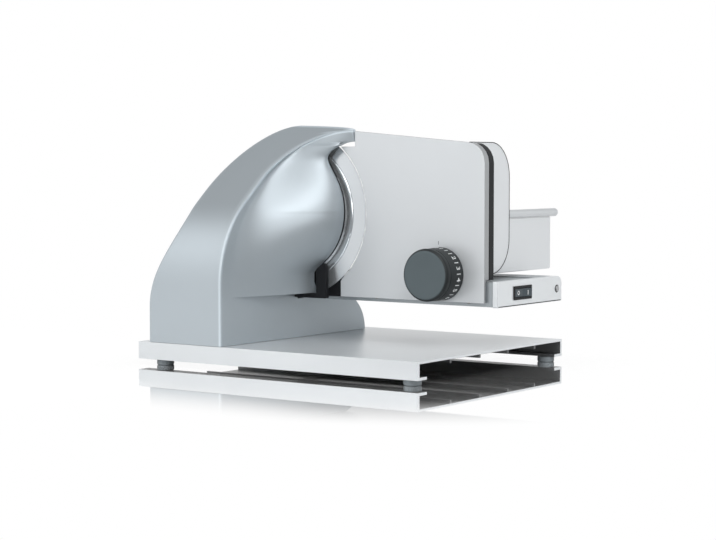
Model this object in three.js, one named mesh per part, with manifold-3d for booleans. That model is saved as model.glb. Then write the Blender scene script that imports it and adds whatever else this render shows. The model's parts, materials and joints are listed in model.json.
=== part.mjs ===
// An electric food slicer: a low aluminium base, a swept motor housing with a domed gear case,
// a round blade, a sliding stop plate with a thickness dial, and a carriage on a guide beam.
// Millimetres, +Z up. The base's long side is X, the blade spins about Y and the slices fall on
// the front side, -Y. The origin is under the middle of the object's box, on the floor.
import * as THREE from "three";
import { mergeVertices } from "three/addons/utils/BufferGeometryUtils.js";
import Module from "manifold-3d";

const wasm = await Module();
wasm.setup();

// Driving dimensions
const gap = 0.3; // clearance between pieces that seat on each other
const slide = 0.4; // clearance of a sliding fit
const round = 36; // facets round a visible circle
const smallRound = 16; // facets round a small or hidden circle

// Base: an open extrusion on four feet
const baseLength = 335;
const baseDepth = 265;
const baseHeight = 17.1;
const baseTop = 2.2;
const baseWall = 3;
const lipReach = 12;
const lipThickness = 2.7;
const ribWidth = 2.4;
const ribDepth = 3.2;
const ribCount = 4;
const footDiameter = 17;
const footHeight = 5.5;
const footBevel = 0.8;
const footInsetRight = 12.5;
const footInsetLeft = 26.5;
const footInsetY = 10.5;

// Housing: a foot that carries the beam, and a swept upper part round the blade
const housingInset = 12.7; // from the base's left end
const housingWidth = 93.2; // of the foot and of the front band at its start
const housingFrontInset = 0.1; // from the base's front edge
const housingDepth = 243.5; // of the foot, front to rear
const housingWall = 2.6;
const uprightHeight = 58.5; // straight part of the front, above the base
const frontBend = 105; // radius between the upright front and the slope
const frontCorner = 5; // radius of the band's left edge
const bandCorner = 2.2; // radius of the band's right edge
const footRound = [46, 41]; // quarter ellipse at the foot's rear: depth and height
const leanStart = 36.8; // height above the base where the band starts to lean
const leanHeight = 94;
const lean = 31.3; // how far the band's left edge moves right while it leans
const crestHeight = 67; // height of the round top at the band's left edge
const crestShift = 6; // the crest's place, right of the blade's axis
const crestWall = 4; // housing above the blade's highest point
const crestFront = 2.7; // the crest's front edge, in front of the blade's plane
const rimRear = 0.8; // the housing's rear edge, behind the blade's plane
const noseDrop = 5.8; // from the crest down to the nose's tip
const noseReach = 71.4; // the nose's end, right of the blade's axis
const noseHeight = 11;
const ridgePower = 3; // how the ridge falls from the crest to the nose
const bandSweep = 50.6; // height over which the band's right edge swings out to the nose
const hookHeight = 20; // of the hollow under the nose
const hookReach = 29; // its deepest place, left of the nose's end
const domeRadius = 64;
const domeRise = 2; // dome centre above the blade's axis
const domeFoot = 27; // the dome's lower edge, right of the blade's axis
const domeBlend = 14; // how near two curves of the dome's rear edge come before they flow together
const sideBlend = 30; // the same for the side in front of that edge
const noseEnd = 1.2; // thickness of the nose's end, in front of the rear edge
const noseTurn = 5; // height over which the dome's rear edge moves back to that end
const sidePower = 6; // how close to the rear edge the side takes on its curve
const swellStart = 0.12; // share of the side that stays flat behind the band
const domeBottom = 6.5; // the dome's underside, above the beam's underside
const domeGap = 3.4; // between the blade's front and the dome's rear edge
const bossRadius = 6.5;
const bossHeight = 18;

// Blade and its drive
const bladeDiameter = 170;
const bladeGap = 1.3; // to the housing's rim
const rimWall = 1.5;
const bladeRise = 2; // the blade's lowest point, above the beam's underside
const bladeDish = 5.4; // depth from the edge to the flat of the front
const bladeThickness = 2;
const ringDish = 3; // depth from the edge to the flat ring inside the bevel
const ringRadius = 61.8; // where the middle steps up to the ring
const ringStep = 1.5;
const hollowWidth = 5; // ground land behind the edge
const bevelWidth = 13.2;
const edgeThickness = 0.3;
const bladeBore = 6;
const hubRadius = 17;
const hubThickness = 2.8;
const coverRadius = 61;
const coverThickness = 2;
const shaftRadius = 5;
const bearingRadius = 13;
const bearingWidth = 8;
const gearModule = 1.8;
const wheelTeeth = 34;
const wormStarts = 2;
const wormRadius = 8; // pitch radius
const wormLength = 34;
const wheelWidth = 10;
const wheelFront = 36.5; // the wheel's middle, in front of the blade's plane
const toothThickness = 2; // at the pitch line, for wheel and worm alike
const wormShaftRadius = 3;
const motorRadius = 24;
const motorHeight = 66;
const motorWall = 2.4;
const motorDrop = 40; // the motor's top, below the blade's axis
const rotorRadius = 18;
const rotorHeight = 42;
const bracketPlate = 3;
const bracketWidth = 24;
const bearingPlate = 3;
const bossWall = 3;
const bearingSpacing = 1;
const bushWall = 3.5;
const armGap = 5; // from the worm to the bracket's upper arm
const shaftEnd = 6; // the shaft's reach below the motor

// Guide beam, end cap and switch
const bayHeight = 40.4; // between the base and the beam
const beamHeight = 24;
const beamDepth = 124.3;
const beamFront = 1.2; // behind the blade's plane
const beamWall = 2.5;
const beamInsetLeft = 4; // from the housing's left side
const beamPastPlate = 6.7; // the beam's right end, past the plate's right edge
const grooveY = 82; // the runner's groove, behind the blade's plane
const grooveWidth = 12;
const grooveDepth = 6;
const capThickness = 5.4;
const capOverlap = 0.6; // the cap stands round the beam by this
const capCorner = 8;
const plugThickness = 3;
const switchY = 47.5;
const switchLength = 29.5; // clear opening of the frame
const switchHeight = 8.6;
const frameWall = 1.6;
const frameFlange = 0.9; // the flange's reach past the frame's walls
const flangeThickness = 0.8;
const frameDepth = 9;
const rockerTilt = 7; // degrees of each face of the rocker
const rockerProud = 0.6; // the rocker's middle, outside the cap's face
const rockerPivot = 3; // behind the cap's face
const switchDepth = 13.5;
const capScrewInset = 9.8; // from the cap's rear end
const capScrewRadius = 3.4;

// Stop plate and dial
const plateThickness = 3;
const plateReach = 225; // the plate's right edge, right of the blade's axis
const plateBottom = 3.7; // above the beam's underside
const plateTop = 82.7; // the top's left end, above the blade's axis
const plateSlope = 13.7; // the top edge's fall to the right
const plateCorner = 18;
const plateBladeGap = 2.5;
const plateLeft = 55.7; // lower left edge, right of the blade's axis
const noseClearX = 2.1;
const noseClearZ = 4.9;
const rimDepth = 8.4; // folded right edge, with the plate's own thickness
const rimThickness = 3;
const stripDepth = 8.8;
const rodRadius = 4;
const rodLength = 66;
const rodHeight = 9; // above the beam's underside
const rodLeft = 97; // right of the blade's axis
const rodRight = 205;
const bushRadius = 6;
const bushLength = 11;
const carrierDepth = 6;
const carrierHeight = 9;
const dialDiameter = 50;
const dialDepth = 29;
const dialWall = 3;
const dialEdge = 3.5; // rounded front edge
const dialHollow = 1.2; // the front face's shallow dish
const dishShare = 0.7; // where the dish starts, as a share of the dial's radius
const dialX = 176; // right of the blade's axis
const dialZ = 30.4; // above the beam's underside
const collarWidth = 3.2;
const collarDepth = 5;
const followerWidth = 10;
const followerHeight = 7.5;

// Carriage
const floorLength = 132;
const floorDepth = 161.5;
const floorFront = 2.5; // behind the blade's plane
const floorThickness = 2.2;
const floorRib = 0.8;
const floorRibs = 14;
const floorLift = 5; // above the beam
const wallThickness = 2.5;
const wallHeight = 53.5;
const railRadius = 4.2;
const railPast = 11; // the rail's rear end, past the wall
const guardThickness = 2.5;
const guardDepth = 73;
const guardTop = 71; // above the blade's axis
const guardCorner = 34;
const guardFromPlate = 19.2; // the guard's right face, left of the plate's right edge
const runnerFront = 48; // behind the blade's plane
const runnerDepth = 42;
const runnerInset = 3; // from the floor's left end
const runnerLength = 74;
const padDepth = 12;
const padFront = 4;

// Slice guards and the cord's gland
const tongueShift = 5.8; // from the dome's lower edge
const tongueGap = 2.6; // to the dome's round edge
const tongueWidth = 12.2;
const tongueHeight = 36;
const tongueDepth = 5;
const guardStrip = 4.6;
const lowerGuardLength = 32.5;
const lowerGuardRise = 3.3;
const glandRadius = 5.5;
const glandFlange = 2.5;
const glandBore = 3.6;
const glandHeight = 9.5;
const glandProud = 5;

// Fasteners
const screwRadius = 2;
const screwHead = 4;
const screwHeadHeight = 2.3;
const screwLength = 13;
const beamScrewInset = 22; // from the foot's sides
const beamScrewY = 34; // behind the blade's plane
const screwCapRadius = 9.5; // the blade screw's head
const nutRadius = 8;
const nutHeight = 5;
const motorScrewSpread = 14; // from the motor's axis

// Places worked out from the dimensions
const bladeRadius = bladeDiameter / 2;
const baseZ = footHeight + baseHeight;
const beamZ = baseZ + bayHeight;
const beamTopZ = beamZ + beamHeight;
const left = -baseLength / 2 + housingInset;
const right = left + housingWidth;
const front = -baseDepth / 2 + housingFrontInset;
const rear = front + housingDepth;
const bladeX = left + rimWall + bladeGap + bladeRadius;
const bladeZ = beamZ + bladeRise + bladeRadius;
const bottomZ = baseZ + gap;
const roofZ = beamZ - gap;
const crestX = bladeX + crestShift;
const crestZ = bladeZ + bladeRadius + crestWall;
const noseX = bladeX + noseReach;
const noseZ = crestZ - noseDrop;
const noseUnder = noseZ - noseHeight;
const domeZ = domeBottom + beamZ;
const domeRear = -bladeDish - domeGap;
const bendZ = baseZ + uprightHeight;
const bandZ = noseZ - bandSweep;
const plateRight = bladeX + plateReach;
const plateRear = -gap;
const plateFront = plateRear - plateThickness;
const beamRight = plateRight + beamPastPlate;
const beamLeft = left + beamInsetLeft;
const beamRear = beamFront + beamDepth;
const capX = beamRight + gap + capThickness;
const guardX = plateRight - guardFromPlate;
const wallX = guardX - guardThickness - gap;
const floorZ = beamTopZ + floorLift;
const floorTopZ = floorZ + floorThickness;
const floorRear = floorFront + floorDepth;
const wheelY = -wheelFront;
const wheelRadius = gearModule * wheelTeeth / 2;
const wormX = bladeX - wheelRadius - wormRadius;
const wormLead = Math.PI * gearModule * wormStarts;
const motorTop = bladeZ - motorDrop;
const dialCentre = [bladeX + dialX, beamZ + dialZ];
const dialFront = plateFront - gap - dialDepth;

// Geometry helpers

/** Reverses a closed geometry's triangles where they face inwards. */
function faceOut(geometry) {
  const p = geometry.attributes.position;
  const index = geometry.index.array;
  const [a, b, c] = [new THREE.Vector3(), new THREE.Vector3(), new THREE.Vector3()];
  let volume = 0;
  for (let i = 0; i < index.length; i += 3) {
    a.fromBufferAttribute(p, index[i]);
    b.fromBufferAttribute(p, index[i + 1]);
    c.fromBufferAttribute(p, index[i + 2]);
    volume += a.dot(b.cross(c));
  }
  if (volume < 0) {
    index.reverse();
  }
  return geometry;
}

/** A closed geometry with shared vertices and no collapsed triangles. */
function clean(geometry) {
  geometry.deleteAttribute("normal");
  geometry.deleteAttribute("uv");
  const merged = mergeVertices(geometry, 1e-4);
  const kept = [];
  const index = merged.index.array;
  for (let i = 0; i < index.length; i += 3) {
    const [a, b, c] = index.slice(i, i + 3);
    if (a !== b && b !== c && c !== a) {
      kept.push(a, b, c);
    }
  }
  merged.setIndex(kept);
  return faceOut(merged);
}

function toSolid(geometry) {
  const closed = clean(geometry.clone());
  return new wasm.Manifold(new wasm.Mesh({
    numProp: 3,
    vertProperties: new Float32Array(closed.attributes.position.array),
    triVerts: new Uint32Array(closed.index.array),
  }));
}

function toGeometry(solid) {
  const mesh = solid.getMesh();
  const geometry = new THREE.BufferGeometry();
  geometry.setAttribute("position", new THREE.BufferAttribute(new Float32Array(mesh.vertProperties), 3));
  geometry.setIndex(new THREE.BufferAttribute(new Uint32Array(mesh.triVerts), 1));
  return geometry;
}

const cut = (geometry, ...tools) => toGeometry(
  tools.reduce((solid, tool) => solid.subtract(toSolid(tool)), toSolid(geometry)));
const join = (geometry, ...others) => toGeometry(
  others.reduce((solid, other) => solid.add(toSolid(other)), toSolid(geometry)));
const common = (geometry, other) => toGeometry(toSolid(geometry).intersect(toSolid(other)));

/** A box from its lowest to its highest corner. */
function box(low, high) {
  const size = high.map((value, i) => value - low[i]);
  const geometry = new THREE.BoxGeometry(...size);
  return geometry.translate(...low.map((value, i) => value + size[i] / 2));
}

/** A shape from a list of corners. */
function outline(points) {
  return new THREE.Shape(points.map(([a, b]) => new THREE.Vector2(a, b)));
}

/** A rectangle from its lowest to its highest corner, with the given corner radii, lower left first. */
function rounded(low, high, [r1, r2, r3, r4]) {
  const shape = new THREE.Shape();
  shape.moveTo(low[0] + r1, low[1]);
  shape.lineTo(high[0] - r2, low[1]);
  shape.absarc(high[0] - r2, low[1] + r2, r2, -Math.PI / 2, 0);
  shape.lineTo(high[0], high[1] - r3);
  shape.absarc(high[0] - r3, high[1] - r3, r3, 0, Math.PI / 2);
  shape.lineTo(low[0] + r4, high[1]);
  shape.absarc(low[0] + r4, high[1] - r4, r4, Math.PI / 2, Math.PI);
  shape.lineTo(low[0], low[1] + r1);
  shape.absarc(low[0] + r1, low[1] + r1, r1, Math.PI, 1.5 * Math.PI);
  return shape;
}

function extrude(shape, depth, steps = 1) {
  return new THREE.ExtrudeGeometry(shape, { depth, steps, bevelEnabled: false, curveSegments: 5 });
}

/** Extrudes a shape drawn in (Y, Z) along X. */
function alongX(shape, x0, x1) {
  const turn = new THREE.Matrix4().set(0, 0, 1, x0, 1, 0, 0, 0, 0, 1, 0, 0, 0, 0, 0, 1);
  return extrude(shape, x1 - x0).applyMatrix4(turn);
}

/** Extrudes a shape drawn in (X, Z) along Y. */
function alongY(shape, y0, y1, steps = 1) {
  const turn = new THREE.Matrix4().set(1, 0, 0, 0, 0, 0, -1, y1, 0, 1, 0, 0, 0, 0, 0, 1);
  return extrude(shape, y1 - y0, steps).applyMatrix4(turn);
}

/** Extrudes a shape drawn in (X, Y) along Z. */
function alongZ(shape, z0, z1) {
  return extrude(shape, z1 - z0).translate(0, 0, z0);
}

/** Revolves a (radius, height) profile about a line parallel to Y through (x, z). */
function turnedY(profile, x, z, facets = round) {
  const points = profile.map(([r, y]) => new THREE.Vector2(r, y));
  return new THREE.LatheGeometry(points, facets).translate(x, 0, z);
}

/** Revolves a (radius, height) profile about a line parallel to Z through (x, y). */
function turnedZ(profile, x, y, facets = round) {
  const points = profile.map(([r, h]) => new THREE.Vector2(r, h));
  return new THREE.LatheGeometry(points, facets).rotateX(Math.PI / 2).translate(x, y, 0);
}

/** Revolves a (radius, height) profile about a line parallel to X through (y, z). */
function turnedX(profile, y, z, facets = smallRound) {
  const points = profile.map(([r, h]) => new THREE.Vector2(r, h));
  return new THREE.LatheGeometry(points, facets).rotateZ(-Math.PI / 2).translate(0, y, z);
}

const rod = (radius, low, high) => [[0, low], [radius, low], [radius, high], [0, high]];
const ring = (outer, inner, low, high) => [
  [inner, low], [outer, low], [outer, high], [inner, high], [inner, low],
];

/** Skins horizontal outlines of equal point count, listed upwards, and caps both ends. */
function loft(levels) {
  const count = levels[0].points.length;
  const position = levels.flatMap(({ z, points }) => points.flatMap(([x, y]) => [x, y, z]));
  const index = [];
  for (let i = 0; i + 1 < levels.length; i += 1) {
    for (let j = 0; j < count; j += 1) {
      const k = (j + 1) % count;
      const [a, b, c, d] = [i * count + j, i * count + k, (i + 1) * count + k, (i + 1) * count + j];
      index.push(a, b, c, a, c, d);
    }
  }
  const top = (levels.length - 1) * count;
  const flat = (level) => level.points.map(([x, y]) => new THREE.Vector2(x, y));
  const cap = (level, start, flip) => {
    for (const [a, b, c] of THREE.ShapeUtils.triangulateShape(flat(level), [])) {
      index.push(...(flip ? [start + a, start + c, start + b] : [start + a, start + b, start + c]));
    }
  };
  const clockwise = THREE.ShapeUtils.isClockWise(flat(levels[0]));
  cap(levels[0], 0, !clockwise);
  cap(levels[levels.length - 1], top, clockwise);
  const geometry = new THREE.BufferGeometry();
  geometry.setAttribute("position", new THREE.Float32BufferAttribute(position, 3));
  geometry.setIndex(index);
  return geometry;
}

/** Points of an arc that rounds the corner between two neighbours, by a quadratic curve. */
function corner(before, at, after, radius, steps) {
  const towards = ([x, y]) => {
    const length = Math.hypot(x - at[0], y - at[1]);
    const share = Math.min(radius / length, 0.45);
    return [at[0] + (x - at[0]) * share, at[1] + (y - at[1]) * share];
  };
  const [start, end] = [towards(before), towards(after)];
  return Array.from({ length: steps + 1 }, (_, i) => {
    const t = i / steps;
    const blend = (k) => (1 - t) ** 2 * start[k] + 2 * t * (1 - t) * at[k] + t * t * end[k];
    return [blend(0), blend(1)];
  });
}

const clamp = (value) => Math.min(Math.max(value, 0), 1);
const smooth = (value) => clamp(value) ** 2 * (3 - 2 * clamp(value));
/** A quarter ellipse's fall, from 0 at the start of the share to 1 at its end. */
const quarter = (share) => 1 - Math.sqrt(1 - clamp(share) ** 2);

// Scene graph: one group, one mesh for each piece
const slicer = new THREE.Group();

function add(name, geometry, [color, roughness, metalness]) {
  const material = new THREE.MeshStandardMaterial({ color, roughness, metalness });
  const mesh = new THREE.Mesh(clean(geometry), material);
  mesh.name = name;
  slicer.add(mesh);
}

const silverPaint = [0xb9bfc4, 0.38, 0.55];
const anodised = [0xc9cdd0, 0.42, 0.8];
const brushed = [0xd2d5d8, 0.35, 0.85];
const bladeSteel = [0xc4cace, 0.22, 1.0];
const steel = [0x9a9fa3, 0.4, 0.9];
const bronze = [0xa9854a, 0.45, 0.9];
const anthracite = [0x35383b, 0.6, 0.0];
const black = [0x161719, 0.55, 0.0];
const greyRubber = [0x8b8f92, 0.8, 0.0];
const zinc = [0xa5a8a6, 0.5, 0.8];
const nylon = [0xd9d6cc, 0.6, 0.0];

// Base and feet

/** The extrusion's section in (Y, Z): a flat top, two walls with inward lips, and ribs underneath. */
function baseSection() {
  const [half, low, high] = [baseDepth / 2, footHeight, baseZ];
  const inner = half - baseWall;
  const lip = inner - lipReach;
  const under = high - baseTop;
  const points = [[-lip, low], [-lip, low + lipThickness], [-inner, low + lipThickness], [-inner, under]];
  for (let i = 0; i < ribCount; i += 1) {
    const y = -inner + 2 * inner * (i + 1) / (ribCount + 1);
    const [a, b] = [y - ribWidth / 2, y + ribWidth / 2];
    points.push([a, under], [a, under - ribDepth], [b, under - ribDepth], [b, under]);
  }
  points.push([inner, under], [inner, low + lipThickness], [lip, low + lipThickness], [lip, low]);
  points.push([half, low], [half, high], [-half, high], [-half, low]);
  return outline(points);
}

// Screws stand on two lines of the foot, inside its bosses.
const screwX = [left + housingWall + bossRadius - 1, right - housingWall - bossRadius + 1];
const screwY = [front + housingWall + bossRadius - 1, rear - housingWall - 2 * bossRadius];
const housingScrews = screwX.flatMap((x) => screwY.map((y) => [x, y]));
const screwAt = (x, y, low, high) => turnedZ(rod(screwRadius + slide, low, high), x, y, smallRound);

function base() {
  const holes = housingScrews.map(([x, y]) => screwAt(x, y, footHeight, baseZ + 1));
  return cut(alongX(baseSection(), -baseLength / 2, baseLength / 2), ...holes);
}

add("base_profile", base(), anodised);

const footRadius = footDiameter / 2;
const footProfile = [
  [0, 0],
  [footRadius - footBevel, 0],
  [footRadius, footBevel],
  [footRadius, footHeight - gap],
  [0, footHeight - gap],
];
const footX = { left: -baseLength / 2 + footInsetLeft, right: baseLength / 2 - footInsetRight };
const footY = { front: -baseDepth / 2 + footInsetY, rear: baseDepth / 2 - footInsetY };
for (const side of ["left", "right"]) {
  for (const end of ["front", "rear"]) {
    add(`foot_${end}_${side}`, turnedZ(footProfile, footX[side], footY[end], smallRound), greyRubber);
  }
}

// Motor housing

// The front climbs upright, bends with one radius and then runs straight to the crest.
const frontRun = -crestFront - front;
const frontRise = crestZ - bendZ;
const frontTurn = Math.asin(frontBend / Math.hypot(frontRise, frontBend - frontRun))
  - Math.atan2(frontBend - frontRun, frontRise);

/** The front's Y at a height. */
function frontY(z) {
  const rise = Math.max(z - bendZ, 0);
  const bent = frontBend * Math.sin(frontTurn);
  if (rise < bent) {
    return front + frontBend * (1 - Math.sqrt(1 - (rise / frontBend) ** 2));
  }
  return front + frontBend * (1 - Math.cos(frontTurn)) + (rise - bent) * Math.tan(frontTurn);
}

/** The front band's left edge: it leans to the right, then rounds over to the crest. */
function bandLeft(z) {
  const crestStart = crestZ - crestHeight;
  const leaning = lean * smooth((z - baseZ - leanStart) / leanHeight);
  return left + leaning + (crestX - left - lean) * quarter((z - crestStart) / crestHeight);
}

/** The left side at the blade's plane: upright, then a quarter ellipse round the blade. */
function rimLeft(z) {
  return left + (crestX - left) * quarter((z - bladeZ) / (crestZ - bladeZ));
}

/** The front band's right edge: upright, out to the nose on a quarter ellipse, back along the ridge. */
function bandRight(z) {
  if (z > noseZ) {
    return noseX + (crestX - noseX) * ((z - noseZ) / noseDrop) ** ridgePower;
  }
  return right + (noseX - right) * quarter((z - bandZ) / bandSweep);
}

/** The larger of two values, rounded over where they are closer than a reach. */
function softMax(a, b, reach) {
  const near = Math.max(reach - Math.abs(a - b), 0);
  return Math.max(a, b) + near ** 2 / (4 * reach);
}

/** How far the ridge lies below the crest at a place along it. */
function ridgeDrop(x) {
  const share = Math.min(Math.max((x - crestX) / (noseX - crestX), 0), 1);
  return noseDrop * (1 - (1 - share) ** (1 / ridgePower));
}

/** The circle of the dome about the blade's axis, as its right edge at a height. */
function domeCircle(z) {
  return bladeX + Math.sqrt(Math.max(domeRadius ** 2 - (z - bladeZ - domeRise) ** 2, 0));
}

/** The dome's rear edge: a circle round the blade's axis, upright below, hollow under the nose. */
function domeRight(z) {
  if (z > noseUnder) {
    return bandRight(Math.max(z, noseZ));
  }
  const hollow = noseX - hookReach * (1 - quarter((z - noseUnder + hookHeight) / hookHeight));
  return softMax(domeCircle(z), z < bladeZ ? bladeX + domeFoot : hollow, domeBlend);
}

/** The curve that the side in front of the rear edge heads for: the same, with softer turns. */
function sideRight(z) {
  if (z > noseZ) {
    return bandRight(z);
  }
  const middle = bladeZ + domeRise;
  if (z < middle) {
    return bladeX + domeFoot + (domeRadius - domeFoot) * smooth((z - domeZ) / (middle - domeZ));
  }
  const hookStart = noseUnder - sideBlend;
  const hollow = noseX - hookReach * (1 - smooth((z - hookStart) / (noseZ - hookStart)));
  return softMax(domeCircle(z), hollow, sideBlend);
}

/** How far back the side goes before it turns into the dome's rear edge. */
function sideRear(z) {
  const moved = smooth((z - noseUnder + noseTurn) / noseTurn);
  return domeRear + (rimRear - noseEnd - domeRear) * moved;
}

/** The share of the way from the band's edge to the dome's rear edge: hollow first, then domed. */
function swell(share) {
  return smooth((share - swellStart) / (1 - swellStart)) ** 0.9;
}

const sideSteps = 11;
const frontSteps = 5;

/** The housing's outline at a height, moved inwards by an inset. */
function housingLevel(z, inset) {
  const up = Math.min(z + inset, crestZ);
  const y1 = rimRear + inset;
  const [x0, x1] = [rimLeft(up) + inset, bandLeft(up) + inset];
  const x2 = Math.max(bandRight(z) - inset, x1 + 1);
  const x3 = Math.max(domeRight(z) - inset, x2);
  const aim = Math.max(sideRight(z) - inset, x2);
  const frontAt = (height) => Math.min(frontY(Math.min(height, crestZ)) + inset, rimRear - 2);
  const across = Array.from({ length: frontSteps + 1 }, (_, i) => {
    const x = x1 + (x2 - x1) * (i / frontSteps);
    return [x, frontAt(up + ridgeDrop(x + inset))];
  });
  const yRight = across[frontSteps][1];
  const domeY = Math.max(sideRear(z), yRight + 1);
  const side = Array.from({ length: sideSteps }, (_, i) => {
    const share = (i + 1) / sideSteps;
    const end = aim + (x3 - aim) * share ** sidePower;
    return [x2 + (end - x2) * swell(share), yRight + (domeY - yRight) * share];
  });
  const wide = (x2 - x1) / (2 * frontSteps);
  const [first, second] = across;
  const [before, last] = across.slice(-2);
  return { z, points: [
    [x0, y1],
    ...corner([x0, y1], first, second, Math.min(frontCorner, wide), 4),
    ...across.slice(1, -1),
    ...corner(before, last, side[0], Math.min(bandCorner, wide), 2),
    ...side,
    [x3, y1],
  ] };
}

/** Heights between two limits, closer together towards the upper one. */
function heights(low, high, count) {
  const step = Math.PI / 2 / count;
  return Array.from({ length: count + 1 }, (_, i) => low + (high - low) * Math.sin(step * i));
}

/** Heights between two limits, closer together towards both. */
function domeHeights(low, high, count) {
  const step = Math.PI / count;
  return Array.from({ length: count + 1 }, (_, i) => low + (high - low) * (1 - Math.cos(step * i)) / 2);
}

/** The foot's rear at a height: it rounds over below the beam. */
const footRear = (z) => rear - footRound[0] * quarter((z - bottomZ) / footRound[1]);

/** The foot's outline at a height, from the front to the given rear, moved inwards by an inset. */
function footLevel(z, inset, back) {
  const [x0, x1, y0, y1] = [bandLeft(z) + inset, right - inset, front + inset, back - inset];
  return { z, points: [
    [left + inset, y1],
    ...corner([left + inset, y1], [x0, y0], [x1, y0], frontCorner, 4),
    ...corner([x0, y0], [x1, y0], [x1, y1], bandCorner, 2),
    [x1, y1],
  ] };
}

const ridgeTop = crestZ - 0.02; // just below the crest, where the outline would close up
const upperLevels = [
  ...domeHeights(domeZ, noseUnder, 25),
  ...heights(noseUnder, noseZ, 5).slice(1),
  ...heights(noseZ, ridgeTop, 7).slice(1),
];
const cavityTop = noseUnder - 8;
/** The space inside the upper part, with the wall's thickness and any clearance as the inset. */
function cavity(inset, low, high) {
  return loft(domeHeights(low, high, 13).map((z) => housingLevel(z, inset)));
}

const glandX = (left + right) / 2;
const glandZ = bottomZ + glandHeight;
const beamScrews = [left + beamScrewInset, right - beamScrewInset].map((x) => [x, beamScrewY]);

function housing() {
  const wall = housingWall;
  const upper = loft(upperLevels.map((z) => housingLevel(z, 0)));
  const foot = loft(heights(bottomZ, roofZ, 8).map((z) => footLevel(z, 0, footRear(z))));
  const riser = loft([roofZ - 1, domeZ + 1].map((z) => footLevel(z, 0, domeRear)));
  const hollowHeights = heights(bottomZ - 1, roofZ - wall, 6);
  const footHollow = loft(hollowHeights.map((z) => footLevel(z, wall, footRear(z))));
  const riserHeights = [roofZ - 2 * wall, domeZ + 2 * wall];
  const riserHollow = loft(riserHeights.map((z) => footLevel(z, wall, domeRear)));
  const roomRadius = bladeRadius + bladeGap;
  const bladeRoom = turnedY([
    [0, domeRear],
    [bladeRadius - bevelWidth + 2 * bladeGap, domeRear],
    [roomRadius, -edgeThickness - bladeGap],
    [roomRadius, rimRear + 1],
    [0, rimRear + 1],
  ], bladeX, bladeZ, 64);
  const hollows = [footHollow, riserHollow, cavity(wall, domeZ + wall, cavityTop), bladeRoom];
  const shell = cut(join(upper, foot, riser), ...hollows);
  const bossTop = bottomZ + bossHeight;
  const boss = rod(bossRadius, bottomZ, bossTop);
  const bosses = housingScrews.map(([x, y]) => turnedZ(boss, x, y, smallRound));
  const holes = housingScrews.map(([x, y]) => screwAt(x, y, bottomZ - 1, bossTop - 2));
  const beamHoles = beamScrews.map(([x, y]) => screwAt(x, y, roofZ - 2 * wall, beamZ));
  const gland = turnedY(rod(glandRadius + slide, rear - 4 * wall, rear + 1), glandX, glandZ, smallRound);
  return cut(join(shell, ...bosses), ...holes, ...beamHoles, gland);
}

add("motor_housing", housing(), silverPaint);

/** A machine screw that points up, with the seat under its head at a height. */
function screwUp(x, y, headTop) {
  const [low, high] = [headTop - screwHeadHeight, headTop + screwLength];
  return turnedZ([
    [0, low],
    [screwHead, low],
    [screwHead, headTop],
    [screwRadius, headTop],
    [screwRadius, high],
    [0, high],
  ], x, y, 12);
}

housingScrews.forEach(([x, y], i) => {
  add(`housing_screw_${i + 1}`, screwUp(x, y, baseZ - baseTop - gap), zinc);
});
beamScrews.forEach(([x, y], i) => {
  add(`beam_screw_${i + 1}`, screwUp(x, y, roofZ - housingWall - gap), zinc);
});

const glandEnd = rear + gap + glandFlange;
add("cord_gland", turnedY([
  [glandBore, rear - 3 * housingWall],
  [glandRadius, rear - 3 * housingWall],
  [glandRadius, rear + gap],
  [glandRadius + glandFlange, rear + gap],
  [glandRadius + glandFlange, glandEnd],
  [glandBore + 1, glandEnd + glandProud],
  [glandBore, glandEnd + glandProud],
  [glandBore, rear - 3 * housingWall],
], glandX, glandZ, smallRound), black);

// Blade and its shaft, with bearings in the bearing plate

const bladeFlat = -bladeDish + bladeThickness; // rear of the blade's flat middle
const hubFront = -bladeDish - gap - hubThickness;
const plateFace = domeRear - bearingPlate; // front face of the bearing plate
const bearingY = [plateFace - gap, plateFace - gap - bearingWidth - bearingSpacing];
const wheelFrontY = wheelY - wheelWidth / 2;

const ringRear = -ringDish + bladeThickness;

add("blade", turnedY([
  [bladeBore, -bladeDish],
  [ringRadius, -bladeDish],
  [ringRadius + ringStep, -ringDish],
  [bladeRadius - bevelWidth, -ringDish],
  [bladeRadius, -edgeThickness],
  [bladeRadius, 0],
  [bladeRadius - hollowWidth, -edgeThickness],
  [ringRadius + ringStep + gap, ringRear],
  [ringRadius + gap, bladeFlat],
  [bladeBore, bladeFlat],
  [bladeBore, -bladeDish],
], bladeX, bladeZ, 64), bladeSteel);

const coverFront = bladeFlat + gap;
const coverRing = ring(coverRadius, screwCapRadius + slide, coverFront, coverFront + coverThickness);
add("blade_cover", turnedY(coverRing, bladeX, bladeZ, 48), brushed);

add("blade_screw", turnedY([
  [0, -bladeDish - hubThickness / 2],
  [shaftRadius / 2, -bladeDish - hubThickness / 2],
  [shaftRadius / 2, bladeFlat + gap],
  [screwCapRadius, bladeFlat + gap],
  [screwCapRadius, bladeFlat + gap + coverThickness],
  [0, bladeFlat + gap + coverThickness],
], bladeX, bladeZ, smallRound), steel);

add("blade_shaft", turnedY([
  [0, wheelFrontY - nutHeight - 2 * gap],
  [shaftRadius, wheelFrontY - nutHeight - 2 * gap],
  [shaftRadius, hubFront],
  [hubRadius, hubFront],
  [hubRadius, -bladeDish - gap],
  [bladeBore - gap, -bladeDish - gap],
  [bladeBore - gap, bladeFlat],
  [shaftRadius / 2 + gap, bladeFlat],
  [shaftRadius / 2 + gap, -bladeDish - hubThickness],
  [0, -bladeDish - hubThickness],
], bladeX, bladeZ, smallRound), steel);

["rear", "front"].forEach((end, i) => {
  const high = bearingY[i];
  const profile = ring(bearingRadius, shaftRadius + gap, high - bearingWidth, high);
  add(`blade_bearing_${end}`, turnedY(profile, bladeX, bladeZ, smallRound), steel);
});

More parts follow.
